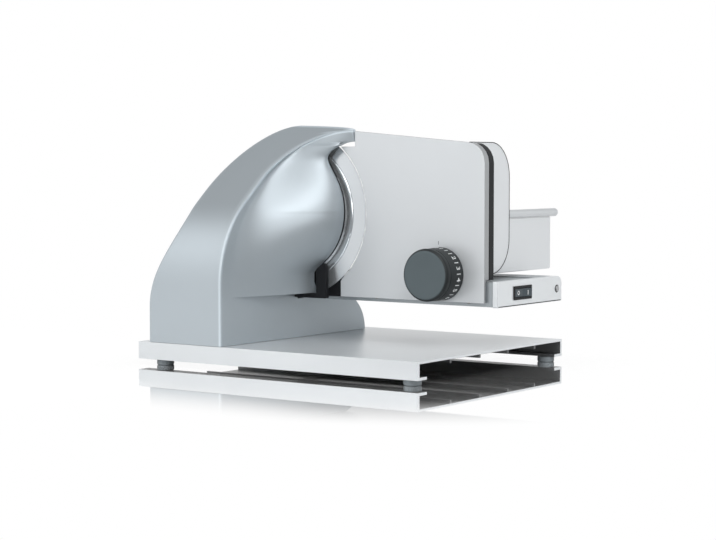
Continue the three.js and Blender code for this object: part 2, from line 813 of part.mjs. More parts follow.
function bearingCarrier() {
  const inset = housingWall + 5 * gap;
  const slab = box([left, plateFace, domeZ], [noseX, domeRear - gap, crestZ]);
  const sheet = common(cavity(inset, domeZ + inset, cavityTop - 3 * gap), slab);
  const bossFront = bearingY[1] - bearingWidth;
  const boss = turnedY(rod(bearingRadius + bossWall, bossFront, plateFace + 1), bladeX, bladeZ, round);
  const bore = turnedY(rod(bearingRadius + gap, bossFront - 1, plateFace), bladeX, bladeZ, round);
  const mouth = turnedY(rod(shaftRadius + 2, bossFront - 1, domeRear + 1), bladeX, bladeZ, smallRound);
  return cut(join(sheet, boss), bore, mouth);
}

add("bearing_plate", bearingCarrier(), zinc);

// Worm drive: a worm on the motor's shaft turns the wheel on the blade's shaft

const toothDepth = gearModule * 0.8; // tip above the pitch line
const toothRoot = gearModule * 1.1; // root below it
const [crown, flank] = [0.32, 0.75]; // half widths at the tip and the root, in tooth thicknesses
const threadSunk = 0.6; // how deep the thread's foot sits in the worm's core
const wheelTwist = wormLead / (2 * Math.PI * wormRadius) / wheelRadius; // radians for each mm along Y

/** Worm wheel: straight-sided teeth, turned along the face by the worm's lead. */
function wormWheel() {
  const [tip, root] = [wheelRadius + toothDepth, wheelRadius - toothRoot];
  const points = [];
  for (let i = 0; i < wheelTeeth; i += 1) {
    const middle = 2 * Math.PI * (i + 0.5) / wheelTeeth;
    for (const [r, half] of [[root, flank], [tip, crown], [tip, -crown], [root, -flank]]) {
      const a = middle - half * toothThickness / r;
      points.push([bladeX + r * Math.cos(a), bladeZ + r * Math.sin(a)]);
    }
  }
  const wheel = alongY(outline(points), wheelY - wheelWidth / 2, wheelY + wheelWidth / 2, 2);
  const p = wheel.attributes.position;
  for (let i = 0; i < p.count; i += 1) {
    const turn = -(p.getY(i) - wheelY) * wheelTwist;
    const [x, z] = [p.getX(i) - bladeX, p.getZ(i) - bladeZ];
    p.setX(i, bladeX + x * Math.cos(turn) - z * Math.sin(turn));
    p.setZ(i, bladeZ + x * Math.sin(turn) + z * Math.cos(turn));
  }
  const bore = rod(shaftRadius + gap, wheelY - wheelWidth, wheelY + wheelWidth);
  return cut(wheel, turnedY(bore, bladeX, bladeZ, smallRound));
}

add("worm_wheel", wormWheel(), nylon);
const nutFront = wheelFrontY - gap - nutHeight;
add("wheel_nut", cut(
  turnedY(rod(nutRadius, nutFront, wheelFrontY - gap), bladeX, bladeZ, 6),
  turnedY(rod(shaftRadius + gap, nutFront - 1, wheelFrontY), bladeX, bladeZ, smallRound)), zinc);

/** One thread of the worm: a trapezium carried along a helix about Z, closed at both ends. */
function thread(start) {
  const steps = Math.round(10 * wormLength / wormLead);
  const [tip, root] = [wormRadius + toothDepth, wormRadius - toothRoot - threadSunk];
  const section = [[root, -flank], [tip, -crown], [tip, crown], [root, flank]];
  const position = [];
  const index = [];
  for (let i = 0; i <= steps; i += 1) {
    const share = i / steps - 0.5;
    const angle = 2 * Math.PI * (share * wormLength / wormLead + start / wormStarts);
    for (const [r, half] of section) {
      const z = share * wormLength + half * toothThickness;
      position.push(r * Math.cos(angle), r * Math.sin(angle), z);
    }
  }
  const n = section.length;
  for (let i = 0; i < steps; i += 1) {
    for (let j = 0; j < n; j += 1) {
      const [a, b] = [i * n + j, i * n + (j + 1) % n];
      index.push(a, b, b + n, a, b + n, a + n);
    }
  }
  const last = steps * n;
  index.push(0, 2, 1, 0, 3, 2, last, last + 1, last + 2, last, last + 2, last + 3);
  const geometry = new THREE.BufferGeometry();
  geometry.setAttribute("position", new THREE.Float32BufferAttribute(position, 3));
  geometry.setIndex(index);
  return geometry.translate(wormX, wheelY, bladeZ);
}

const motorLow = motorTop - motorHeight;
const wormLow = bladeZ - wormLength / 2;
const wormHigh = bladeZ + wormLength / 2;
const upperArm = wormHigh + armGap;
const wormCore = wormRadius - toothRoot;

const wormBlank = turnedZ([
  [0, motorLow - shaftEnd],
  [wormShaftRadius, motorLow - shaftEnd],
  [wormShaftRadius, wormLow - 1],
  [wormCore, wormLow - 1],
  [wormCore, wormHigh + 1],
  [wormShaftRadius, wormHigh + 1],
  [wormShaftRadius, upperArm + bracketPlate + 1],
  [0, upperArm + bracketPlate + 1],
], wormX, wheelY, smallRound);
const threads = Array.from({ length: wormStarts }, (_, i) => thread(i));
add("worm_shaft", join(wormBlank, ...threads), steel);

const rotorLow = motorLow + (motorHeight - rotorHeight) / 2;
const rotorRing = ring(rotorRadius, wormShaftRadius + gap, rotorLow, rotorLow + rotorHeight);
add("rotor_stack", turnedZ(rotorRing, wormX, wheelY, smallRound), steel);

const bushHole = wormShaftRadius + bushWall + 2 * gap;
add("motor_can", turnedZ([
  [bushHole, motorLow],
  [motorRadius, motorLow],
  [motorRadius, motorTop],
  [bushHole, motorTop],
  [bushHole, motorTop - motorWall],
  [motorRadius - motorWall, motorTop - motorWall],
  [motorRadius - motorWall, motorLow + motorWall],
  [bushHole, motorLow + motorWall],
  [bushHole, motorLow],
], wormX, wheelY, 32), steel);

const shaftBush = (low, high) => turnedZ(
  ring(wormShaftRadius + gap + bushWall, wormShaftRadius + gap, low, high), wormX, wheelY, smallRound);
add("motor_bush_lower", shaftBush(motorLow, motorLow + motorWall), bronze);
add("motor_bush_upper", shaftBush(motorTop - motorWall, motorTop), bronze);
add("worm_bush", shaftBush(upperArm, upperArm + bracketPlate), bronze);

const lowerArm = motorTop + gap;
const motorScrews = [-1, 1].map((side) => wheelY + side * motorScrewSpread);

/** C-shaped bracket: two arms for the worm's shaft and the motor, on a web along the bearing plate. */
function motorBracket() {
  const [web, tip] = [plateFace - gap, wheelY - bracketWidth / 2];
  const section = outline([
    [web, lowerArm],
    [web, upperArm + bracketPlate],
    [tip, upperArm + bracketPlate],
    [tip, upperArm],
    [web - bracketPlate, upperArm],
    [web - bracketPlate, lowerArm + bracketPlate],
    [tip - motorScrewSpread / 2, lowerArm + bracketPlate],
    [tip - motorScrewSpread / 2, lowerArm],
  ]);
  const bore = (arm) => turnedZ(rod(bushHole, arm - 1, arm + bracketPlate + 1), wormX, wheelY, smallRound);
  const holes = motorScrews.map((y) => screwAt(wormX, y, lowerArm - 1, lowerArm + bracketPlate + 1));
  const bracket = alongX(section, wormX - bracketWidth / 2, wormX + bracketWidth / 2);
  return cut(bracket, bore(upperArm), bore(lowerArm), ...holes);
}

add("motor_bracket", motorBracket(), zinc);
motorScrews.forEach((y, i) => {
  const seat = lowerArm + bracketPlate + gap;
  const profile = [
    [0, motorTop + gap / 2], [screwRadius, motorTop + gap / 2], [screwRadius, seat],
    [screwHead, seat], [screwHead, seat + screwHeadHeight], [0, seat + screwHeadHeight],
  ];
  add(`motor_screw_${i + 1}`, turnedZ(profile, wormX, y, 12), zinc);
});

// Slice guards: a tongue beside the dome, and a plate in the beam below the blade's edge

function sliceGuard() {
  const [x0, z0] = [bladeX + domeFoot + tongueShift, domeZ - gap - guardStrip];
  const [y0, y1] = [domeRear - tongueDepth, domeRear];
  const r = tongueWidth / 2;
  const outlineXZ = rounded([x0, z0], [x0 + tongueWidth, z0 + tongueHeight], [1, 1, r, r - 1]);
  const strip = box([right + gap, y0, z0], [x0 + 1, y1, domeZ - gap]);
  const dome = turnedY(rod(domeRadius + tongueGap, y0 - 1, y1 + 1), bladeX, bladeZ + domeRise, 72);
  return cut(join(alongY(outlineXZ, y0, y1), strip), dome);
}

add("slice_guard", sliceGuard(), black);

const guardRight = bladeX + plateLeft - 1;
const lowerGuard = (grow) => box(
  [guardRight - lowerGuardLength - grow, beamFront - grow, beamZ + lowerGuardRise - grow],
  [guardRight + grow, beamFront + beamWall + grow, beamTopZ - beamWall - 2 * gap + grow]);
add("lower_guard", lowerGuard(0), black);

// Guide beam with its end cap, plug and switch

/** The beam's outer outline in (Y, Z), with the runner's groove in the top. */
function beamOutline() {
  const [y0, y1] = [grooveY - grooveWidth / 2, grooveY + grooveWidth / 2];
  const floor = beamTopZ - grooveDepth;
  return [
    [beamFront, beamZ], [beamRear, beamZ], [beamRear, beamTopZ],
    [y1, beamTopZ], [y1, floor], [y0, floor], [y0, beamTopZ], [beamFront, beamTopZ],
  ];
}

function beam() {
  const w = beamWall;
  const [low, high, floor] = [beamZ + w, beamTopZ - w, beamTopZ - grooveDepth - w];
  const [y0, y1] = [grooveY - grooveWidth / 2 - w, grooveY + grooveWidth / 2 + w];
  const section = outline(beamOutline());
  section.holes.push(outline([
    [beamFront + w, low], [beamRear - w, low], [beamRear - w, high],
    [y1, high], [y1, floor], [y0, floor], [y0, high], [beamFront + w, high],
  ]));
  const rodHole = rod(bushRadius + gap, beamFront - 1, beamFront + w + 1);
  const rods = rodsX.map((x) => turnedY(rodHole, x, rodZ, smallRound));
  const screws = beamScrews.map(([x, y]) => screwAt(x, y, beamZ - 1, beamZ + w + 1));
  return cut(alongX(section, beamLeft, beamRight), ...rods, ...screws, lowerGuard(gap));
}

const rodsX = [bladeX + rodLeft, bladeX + rodRight];
const rodZ = beamZ + rodHeight;
add("guide_beam", beam(), anodised);
const plugRight = beamLeft - gap;
add("beam_plug", alongX(outline(beamOutline()), plugRight - plugThickness, plugRight), anthracite);

const switchZ = (beamZ + beamTopZ) / 2;
const capScrewY = beamRear + capOverlap - capScrewInset;
/** A rectangle round the switch's middle, grown by a margin. */
function switchRect(grow) {
  const [halfY, halfZ] = [switchLength / 2 + grow, switchHeight / 2 + grow];
  return outline([
    [switchY - halfY, switchZ - halfZ], [switchY + halfY, switchZ - halfZ],
    [switchY + halfY, switchZ + halfZ], [switchY - halfY, switchZ + halfZ],
  ]);
}

function endCap() {
  const low = [beamFront - capOverlap, beamZ - capOverlap];
  const high = [beamRear + capOverlap, beamTopZ + capOverlap];
  const cap = alongX(rounded(low, high, [1, 1, capCorner, 1]), beamRight + gap, capX);
  const window = alongX(switchRect(frameWall + gap), beamRight, capX + 1);
  const hole = turnedX(rod(capScrewRadius / 2 + slide, beamRight, capX + 1), capScrewY, switchZ);
  return cut(cap, window, hole);
}

add("beam_end_cap", endCap(), anodised);
add("end_cap_screw", turnedX([
  [0, beamRight - capThickness],
  [capScrewRadius / 2, beamRight - capThickness],
  [capScrewRadius / 2, capX + gap],
  [capScrewRadius, capX + gap],
  [capScrewRadius * 0.8, capX + gap + 1],
  [0, capX + gap + 1],
], capScrewY, switchZ), steel);

function switchFrame() {
  const [back, face] = [capX + flangeThickness - frameDepth, capX + gap + flangeThickness];
  const walls = alongX(switchRect(frameWall), back, face);
  const flange = alongX(switchRect(frameWall + frameFlange), capX + gap, face);
  return cut(join(walls, flange), alongX(switchRect(0), back - 1, face + 1));
}

add("switch_frame", switchFrame(), black);

/** Rocker seen along Z: round ends about the pivot, and two flat faces that meet in the middle. */
function rocker() {
  const reach = switchLength / 2 - slide;
  const tilt = THREE.MathUtils.degToRad(rockerTilt);
  const middle = rockerPivot + rockerProud;
  const frontAngle = Math.asin((middle + reach * Math.tan(tilt)) / reach);
  const end = (sign) => [0, 1, 2, 3, 4].map((i) => {
    const angle = frontAngle - (frontAngle + 2 * tilt) * i / 4;
    return [reach * Math.sin(angle), sign * reach * Math.cos(angle)];
  });
  const points = [[middle, 0], ...end(-1), ...end(1).reverse()];
  const half = switchHeight / 2 - gap;
  const shape = alongZ(outline(points), -half, half).rotateZ(-tilt);
  return shape.translate(capX - rockerPivot, switchY, switchZ);
}

add("rocker_button", rocker(), anthracite);

const switchBack = capX + flangeThickness - frameDepth - gap;
const switchHalf = switchLength / 2 + frameWall;
add("switch_body", box(
  [switchBack - switchDepth, switchY - switchHalf, switchZ - switchHeight / 2],
  [switchBack, switchY + switchHalf, switchZ + switchHeight / 2]), black);

// Stop plate on two guide rods, with the thickness dial

/** The plate's outline in (X, Z): sloped top, one round corner, and a hollow round the blade. */
function plateOutline() {
  const r = bladeRadius + plateBladeGap;
  const [bottom, notch, top] = [beamZ + plateBottom, noseUnder - noseClearZ, bladeZ + plateTop];
  const [x0, x1] = [noseX + noseClearX, plateRight];
  const slope = Math.atan2(plateSlope, x1 - x0);
  const [cornerZ, soft] = [top - plateSlope, plateCorner * 0.45];
  const onTop = (d) => [x1 - d * Math.cos(slope), cornerZ + d * Math.sin(slope)];
  const shape = new THREE.Shape();
  shape.moveTo(bladeX + plateLeft, bottom);
  shape.lineTo(x1, bottom);
  shape.lineTo(x1, cornerZ - plateCorner);
  shape.bezierCurveTo(x1, cornerZ - soft, ...onTop(soft), ...onTop(plateCorner));
  shape.lineTo(x0, top);
  shape.lineTo(x0, notch);
  shape.absarc(bladeX, bladeZ, r, Math.asin((notch - bladeZ) / r), -Math.acos(plateLeft / r), true);
  return shape;
}

/** The strip along the plate's right edge and corner, above the beam, between two depths. */
function plateEdge(y0, y1) {
  const region = box(
    [plateRight - plateCorner + rimThickness, y0 - 1, beamTopZ + capOverlap + 1],
    [plateRight + 1, y1 + 1, crestZ]);
  const whole = common(alongY(plateOutline(), y0, y1), region);
  const inner = alongY(plateOutline(), y0 - 1, y1 + 1).translate(-rimThickness, 0, -rimThickness);
  return cut(whole, inner);
}

function stopPlate() {
  const sheet = alongY(plateOutline(), plateFront, plateRear);
  const halfX = followerWidth / 2 + 2 * slide;
  const slot = box(
    [dialCentre[0] - halfX, plateFront - 1, followerLow - 2 * slide],
    [dialCentre[0] + halfX, plateRear + 1, followerHigh + 2 * slide]);
  return cut(join(sheet, plateEdge(plateFront, plateFront + rimDepth)), slot);
}

const followerLow = dialCentre[1] - dialDiameter / 2 + dialWall + 3 * slide;
const followerHigh = followerLow + followerHeight;
add("stop_plate", stopPlate(), brushed);
const stripFront = plateFront + rimDepth + gap;
add("plate_edge_strip", plateEdge(stripFront, stripFront + stripDepth), black);

["left", "right"].forEach((side, i) => {
  const x = rodsX[i];
  const bar = rod(rodRadius, plateRear + gap, plateRear + gap + rodLength);
  add(`guide_rod_${side}`, turnedY(bar, x, rodZ, smallRound), steel);
  const bush = ring(bushRadius, rodRadius + slide, beamFront, beamFront + bushLength);
  add(`rod_bush_${side}`, turnedY(bush, x, rodZ, smallRound), bronze);
});

function plateCarrier() {
  const high = plateRear + gap + rodLength;
  const [x0, x1] = [rodsX[0] - 2 * rodRadius, rodsX[1] + 2 * rodRadius];
  const half = carrierHeight / 2 + gap;
  const bar = box([x0, high - carrierDepth, rodZ - half], [x1, high, rodZ + half]);
  const hole = rod(rodRadius + gap, high - carrierDepth - 1, high + 1);
  const holes = rodsX.map((x) => turnedY(hole, x, rodZ, smallRound));
  return cut(bar, ...holes);
}

add("plate_carrier", plateCarrier(), zinc);

function dial() {
  const [outer, face] = [dialDiameter / 2, dialFront];
  const inner = outer - dialWall;
  const back = plateFront - gap;
  const edge = Array.from({ length: 5 }, (_, i) => {
    const angle = Math.PI / 2 * i / 4;
    return [outer - dialEdge * (1 - Math.cos(angle)), face + dialEdge * (1 - Math.sin(angle))];
  });
  const roof = face + dialHollow + dialWall;
  const profile = [
    [inner, back],
    [outer, back],
    ...edge,
    [outer * dishShare, face],
    [0, face + dialHollow],
    [0, roof],
    [inner, roof],
    [inner, back],
  ];
  return turnedY(profile, ...dialCentre);
}

add("dial", dial(), anthracite);

function dialCollar() {
  const outer = dialDiameter / 2 - dialWall - slide;
  const back = plateFront - gap;
  const whole = turnedY(ring(outer, outer - collarWidth, back - collarDepth, back), ...dialCentre);
  const halfX = followerWidth / 2 + 3 * slide;
  const [x, z] = dialCentre;
  const open = box([x - halfX, back - collarDepth - 1, z - outer - 1], [x + halfX, back + 1, z]);
  return cut(whole, open);
}

add("dial_collar", dialCollar(), black);
add("dial_follower", box(
  [dialCentre[0] - followerWidth / 2, dialFront + dialHollow + dialWall + 3 * slide, followerLow],
  [dialCentre[0] + followerWidth / 2, beamFront - gap, followerHigh]), zinc);

// Carriage: a ribbed floor, a wall with a rail, the thumb guard, and the runners on the beam

function floorSection() {
  const points = [[floorFront, floorZ], [floorRear, floorZ], [floorRear, floorTopZ]];
  const pitch = floorDepth / floorRibs;
  for (let i = 0; i < floorRibs; i += 1) {
    const y = floorRear - pitch * (i + 0.5);
    points.push([y + pitch / 4, floorTopZ], [y + pitch / 8, floorTopZ + floorRib]);
    points.push([y - pitch / 8, floorTopZ + floorRib], [y - pitch / 4, floorTopZ]);
  }
  points.push([floorFront, floorTopZ]);
  return outline(points);
}

const floorLeft = wallX - floorLength;
const wallLeft = wallX - wallThickness;
const wallTop = floorZ + wallHeight;
const guardRear = floorFront + guardDepth;
add("carriage_floor", alongX(floorSection(), floorLeft, wallLeft - gap), brushed);
add("carriage_wall", alongX(
  rounded([floorFront, floorZ], [floorRear, wallTop], [1, 2, 1, 1]), wallLeft, wallX), brushed);
add("wall_rail", turnedY(rod(railRadius, guardRear + 2 * gap, floorRear + railPast),
  wallX - wallThickness / 2, wallTop + gap + railRadius, smallRound), anodised);
add("thumb_guard", alongX(
  rounded([floorFront, floorZ], [guardRear, bladeZ + guardTop], [2, guardCorner, guardCorner, 2]),
  wallX + gap, guardX), brushed);

const runnerX = [floorLeft + runnerInset, floorLeft + runnerInset + runnerLength];
function runner() {
  const [low, high] = [beamTopZ + gap, floorZ - gap];
  const block = box([runnerX[0], runnerFront, low], [runnerX[1], runnerFront + runnerDepth, high]);
  const half = grooveWidth / 2 - slide;
  const tongueLow = beamTopZ - grooveDepth + slide;
  const tongue = box([runnerX[0], grooveY - half, tongueLow], [runnerX[1], grooveY + half, high]);
  return join(block, tongue);
}

add("carriage_runner", runner(), black);
const padY = floorFront + padFront;
add("glide_pad", box(
  [runnerX[0], padY, beamTopZ + gap],
  [runnerX[1], padY + padDepth, floorZ - gap]), black);

// The finished part stands with the middle of its box over the origin.
const middle = new THREE.Box3().setFromObject(slicer).getCenter(new THREE.Vector3());
slicer.position.set(-middle.x, -middle.y, 0);
const part = new THREE.Group();
part.add(slicer);

export default part;
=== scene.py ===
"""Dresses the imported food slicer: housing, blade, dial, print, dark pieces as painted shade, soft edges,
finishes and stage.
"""

import json
import math

import bmesh
import bpy
import numpy as np
from bpy.props import FloatProperty, FloatVectorProperty, IntProperty, PointerProperty
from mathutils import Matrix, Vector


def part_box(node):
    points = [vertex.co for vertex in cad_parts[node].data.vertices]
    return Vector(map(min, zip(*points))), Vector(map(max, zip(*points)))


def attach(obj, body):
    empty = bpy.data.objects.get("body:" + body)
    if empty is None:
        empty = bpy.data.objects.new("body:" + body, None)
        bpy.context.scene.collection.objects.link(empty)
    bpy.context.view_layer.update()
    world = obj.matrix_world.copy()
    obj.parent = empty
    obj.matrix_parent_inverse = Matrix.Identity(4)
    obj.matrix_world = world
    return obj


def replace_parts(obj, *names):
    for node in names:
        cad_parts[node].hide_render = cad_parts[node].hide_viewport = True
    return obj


bl_info = {
    "name": "Food Slicer",
    "version": (1, 0, 0),
    "blender": (4, 5, 0),
    "location": "View3D > Sidebar > Slicer",
    "description": "Builds the looks of a food slicer round its packed frame",
    "category": "Object",
}

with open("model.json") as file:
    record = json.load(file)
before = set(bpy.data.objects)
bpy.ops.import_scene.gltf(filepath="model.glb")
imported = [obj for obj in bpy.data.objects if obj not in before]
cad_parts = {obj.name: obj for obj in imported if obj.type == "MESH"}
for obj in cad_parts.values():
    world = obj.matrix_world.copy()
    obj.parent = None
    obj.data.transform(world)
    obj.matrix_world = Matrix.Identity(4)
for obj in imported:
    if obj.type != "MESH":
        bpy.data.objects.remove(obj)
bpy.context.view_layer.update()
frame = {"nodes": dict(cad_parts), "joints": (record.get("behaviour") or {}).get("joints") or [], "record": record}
JOINTS = {joint["name"]: joint for joint in frame["joints"]}
SLOTS = {part["node"]: part["material_slot"] for part in frame["record"]["subparts"]}
BODIES = {
    node: body
    for body, nodes in frame["record"]["behaviour"]["bodies"].items()
    for node in nodes
}
# The base's and the beam's finishes carry painted shade, and the stop plate's paints its sides darker as shade.
FINISHES = {  # where a piece's finish differs from its slot's
    "base_profile": "base_aluminium",
    "guide_beam": "beam_aluminium",
    "stop_plate": "plate_aluminium",
    "wall_rail": "rail_aluminium",
}


def length(name, description, default):
    """A length in metres."""
    return FloatProperty(
        name=name, description=description, default=default, min=0, precision=5, unit="LENGTH"
    )


def angle(name, description, degrees):
    """An angle, given in degrees and kept in radians."""
    return FloatProperty(
        name=name, description=description, default=math.radians(degrees), subtype="ANGLE"
    )


def colour(name, description, default):
    """A linear colour."""
    return FloatVectorProperty(
        name=name, description=description, default=default, size=3, min=0, max=1, subtype="COLOR"
    )


def count(name, description, default):
    """A number of steps or copies."""
    return IntProperty(name=name, description=description, default=default, min=1)


def factor(name, description, default):
    """A share between 0 and 1."""
    return FloatProperty(
        name=name, description=description, default=default, min=0, max=1, subtype="FACTOR"
    )


def power(name, description, default):
    """An exponent."""
    return FloatProperty(name=name, description=description, default=default, min=0)


class HousingSettings(bpy.types.PropertyGroup):
    """Sizes of the swept housing. Its outer limits come from the frame."""

    band_width: length("Band width", "Width of the front band at its start", 0.0932)
    wall: length("Wall", "Thickness of the shell", 0.0026)
    upright: length("Upright", "Straight part of the front, above the base", 0.0585)
    bend: length("Bend", "Radius between the upright front and the slope", 0.105)
    left_corner: length("Left corner", "Radius of the band's left edge", 0.005)
    right_corner: length("Right corner", "Radius of the band's right edge", 0.003)
    foot_depth: length("Foot round depth", "Depth of the round at the foot's rear", 0.046)
    foot_height: length("Foot round height", "Height of the round at the foot's rear", 0.041)
    lean_start: length("Lean start", "Height above the base where the band starts to lean", 0.0368)
    lean_height: length("Lean height", "Height over which the band leans", 0.094)
    lean: length("Lean", "How far the band's left edge moves right", 0.0313)
    crest_height: length("Crest height", "Height of the round top at the band's left edge", 0.067)
    crest_shift: length("Crest shift", "The crest's place, right of the blade's axis", 0.006)
    crest_front: length("Crest front", "The crest's front edge, in front of the blade's plane", 0.0027)
    rim_rear: length("Rim rear", "The rear edge, behind the blade's plane", 0.0008)
    nose_drop: length("Nose drop", "From the crest down to the nose's tip", 0.0058)
    nose_height: length("Nose height", "Height of the nose's end", 0.011)
    ridge_power: power("Ridge power", "How the ridge falls from the crest to the nose", 3.0)
    band_sweep: length("Band sweep", "Height over which the band's right edge swings out", 0.0506)
    hook_height: length("Hook height", "Height of the hollow under the nose", 0.020)
    hook_reach: length("Hook reach", "The hollow's deepest place, left of the nose's end", 0.029)
    dome_radius: length("Dome radius", "Radius of the dome's rear edge", 0.064)
    dome_rise: length("Dome rise", "The dome's centre, above the blade's axis", 0.002)
    dome_foot: length("Dome foot", "The dome's lower edge, right of the blade's axis", 0.027)
    dome_blend: length("Dome blend", "How near two curves come before they flow together", 0.014)
    side_blend: length("Side blend", "The same for the side in front of the rear edge", 0.030)
    nose_end: length("Nose end", "Thickness of the nose's end, in front of the rear edge", 0.0012)
    nose_turn: length("Nose turn", "Height over which the dome's rear edge moves back to that end", 0.005)
    side_power: power("Side power", "How close to the rear edge the side takes on its curve", 6.0)
    swell_start: factor("Swell start", "Share of the side that stays flat behind the band", 0.12)
    dome_bottom: length("Dome bottom", "The dome's underside, above the beam's underside", 0.0065)
    dome_back: length("Dome back", "The dome's rear edge, in front of the blade's plane", 0.0088)
    # The painted highlight: a bright line painted along the band's right edge, standing for the light that the
    # rounded edge catches.
    painted_edge_highlight: length("Wear", "Half the width of the bright line on the band's right edge", 0.0013)
    blade_gap: length("Blade gap", "From the blade's edge to the rim", 0.0013)
    seat: length("Seat", "Clearance between the foot and the beam", 0.0003)


class BladeSettings(bpy.types.PropertyGroup):
    """Sizes of the blade. Its diameter and depth come from the frame."""

    bevel: length("Bevel", "Width of the ground bevel", 0.0132)
    ring_dish: length("Ring dish", "Depth from the edge to the flat ring inside the bevel", 0.003)
    ring_radius: length("Ring radius", "Where the middle steps up to the ring", 0.0618)
    ring_step: length("Ring step", "Width of that step", 0.0015)
    groove: length("Groove", "Depth of the groove beside the bevel", 0.0006)
    edge: length("Edge", "Thickness at the cutting edge", 0.0003)
    thickness: length("Thickness", "Thickness of the flat middle", 0.002)
    bore: length("Bore", "Radius of the hole", 0.006)
    facets: count("Facets", "Steps round the blade", 240)


class DialSettings(bpy.types.PropertyGroup):
    """Sizes of the dial and its scale. Its place and outer size come from the frame."""

    wall: length("Wall", "Thickness of the cup", 0.003)
    edge: length("Edge", "Radius of the front edge", 0.0035)
    flare_front: length("Front flare", "How far the front edge stands out past the solid", 0.0005)
    flare_rear: length("Rear flare", "How far the rear edge stands out past the solid", 0.001)
    rim: length("Rim", "Radius of the rear edge", 0.0005)
    hollow: length("Hollow", "Depth of the dish in the face", 0.0012)
    groove: length("Groove", "Depth of the groove behind the front edge", 0.0007)
    marks: count("Marks", "Highest number of the scale", 12)
    pitch: angle("Pitch", "Turn from one number to the next", 25)
    text: length("Text", "Height of the numbers", 0.0084)
    row: length("Row", "The scale's middle, in front of the dial's rear edge", 0.0082)
    tick_width: length("Tick width", "Width of a tick", 0.0008)
    tick_length: length("Tick length", "Length of a tick", 0.0064)
    print_height: length("Print height", "How far the print stands out", 0.00008)
    facets: count("Facets", "Steps round the dial", 160)


class MarkSettings(bpy.types.PropertyGroup):
    """Sizes of the switch's marks and the dial's index."""

    index_height: length("Index height", "Length of the index line on the plate", 0.0034)
    index_width: length("Index width", "Width of the index line", 0.0007)
    index_shift: length("Index shift", "The index line, left of the dial's axis", 0.003)
    index_gap: length("Index gap", "From the dial to the index line", 0.0034)
    rocker_rise: length("Rocker rise", "The rocker's middle, outside its pivot", 0.0036)
    rocker_tilt: angle("Rocker tilt", "Turn of the whole rocker at rest", 7)
    rocker_slope: angle("Rocker slope", "Slope of each face from the rocker's middle", 7.54)
    symbol: length("Symbol", "Height of the I and O", 0.0042)
    line: length("Line", "Line width of the I and O", 0.0008)
    offset: length("Offset", "The symbols' middle, from the rocker's middle", 0.0076)
    facets: count("Facets", "Steps round the O", 48)


class PaintedShadeSettings(bpy.types.PropertyGroup):
    """Sizes of the dark pieces that paint shade: on the guard's edge, round the cap's screw, under the cap's face
    and behind the dome. Their places come from the frame.
    """

    guard_rear: length("Guard rear", "Radius of the guard's rear corners", 0.034)
    guard_front: length("Guard front", "Radius of the guard's front corners", 0.002)
    bead: length("Bead", "Width of a bead", 0.0005)
    proud: length("Proud", "How far a bead stands out", 0.0002)
    seam: length("Seam", "Height of the line under the cap's face", 0.0008)
    shadow_line_inset: length("Seam inset", "From the line's ends to the cap's sides", 0.002)
    shadow_line_rise: length("Seam rise", "The line's middle, above the cap's underside", 0.0008)
    lip: length("Lip", "Thickness of the lip behind the dome", 0.0012)
    lip_depth: length("Lip depth", "Depth of that lip", 0.0029)
    steps: count("Steps", "Points round each corner", 24)
    rows: count("Rows", "Points along the lip behind the dome", 120)


class EdgeSettings(bpy.types.PropertyGroup):
    """Radii of the soft edges on the pieces that keep their solid's shape."""

    extrusion: length("Extrusions", "Edges of the base, the beam and its cap", 0.0005)
    sheet: length("Sheets", "Edges of the plate, guard and carriage", 0.0006)
    moulding: length("Mouldings", "Edges of plastic and rubber pieces", 0.0005)
    segments: count("Segments", "Steps of each rounded edge", 3)
    sharp: angle("Sharp", "Turn at an edge from which it is rounded", 40)


class FinishSettings(bpy.types.PropertyGroup):
    """Colours of the finishes."""

    paint: colour("Paint", "Metallic silver of the housing", (0.46, 0.51, 0.545))
    anodised: colour("Anodised", "Extruded aluminium", (0.74, 0.77, 0.79))
    # Darker than the anodised colour as painted shade: it stands for the shadow that the stop plate casts on the
    # beam.
    beam: colour("Beam", "Extruded aluminium of the guide beam", (0.34, 0.37, 0.39))
    sheet: colour("Sheet", "Satin sheet metal", (0.74, 0.765, 0.785))
    plate: colour("Plate", "Brushed stop plate", (0.64, 0.665, 0.685))
    blade: colour("Blade", "Ground blade steel", (0.60, 0.63, 0.655))
    steel: colour("Steel", "Machined steel", (0.42, 0.43, 0.44))
    bronze: colour("Bronze", "Plain bearings", (0.42, 0.27, 0.11))
    anthracite: colour("Anthracite", "Rocker", (0.058, 0.075, 0.087))
    dial: colour("Dial", "Face of the dial", (0.088, 0.112, 0.122))
    black: colour("Black", "Guards, strips and runners", (0.012, 0.013, 0.015))
    rubber: colour("Rubber", "Feet", (0.23, 0.26, 0.28))
    zinc: colour("Zinc", "Plated brackets and screws", (0.45, 0.46, 0.45))
    nylon: colour("Nylon", "Worm wheel", (0.68, 0.66, 0.60))
    print: colour("Print", "Numbers and symbols", (0.80, 0.82, 0.83))
    index: colour("Index", "Index line on the plate", (0.16, 0.18, 0.19))


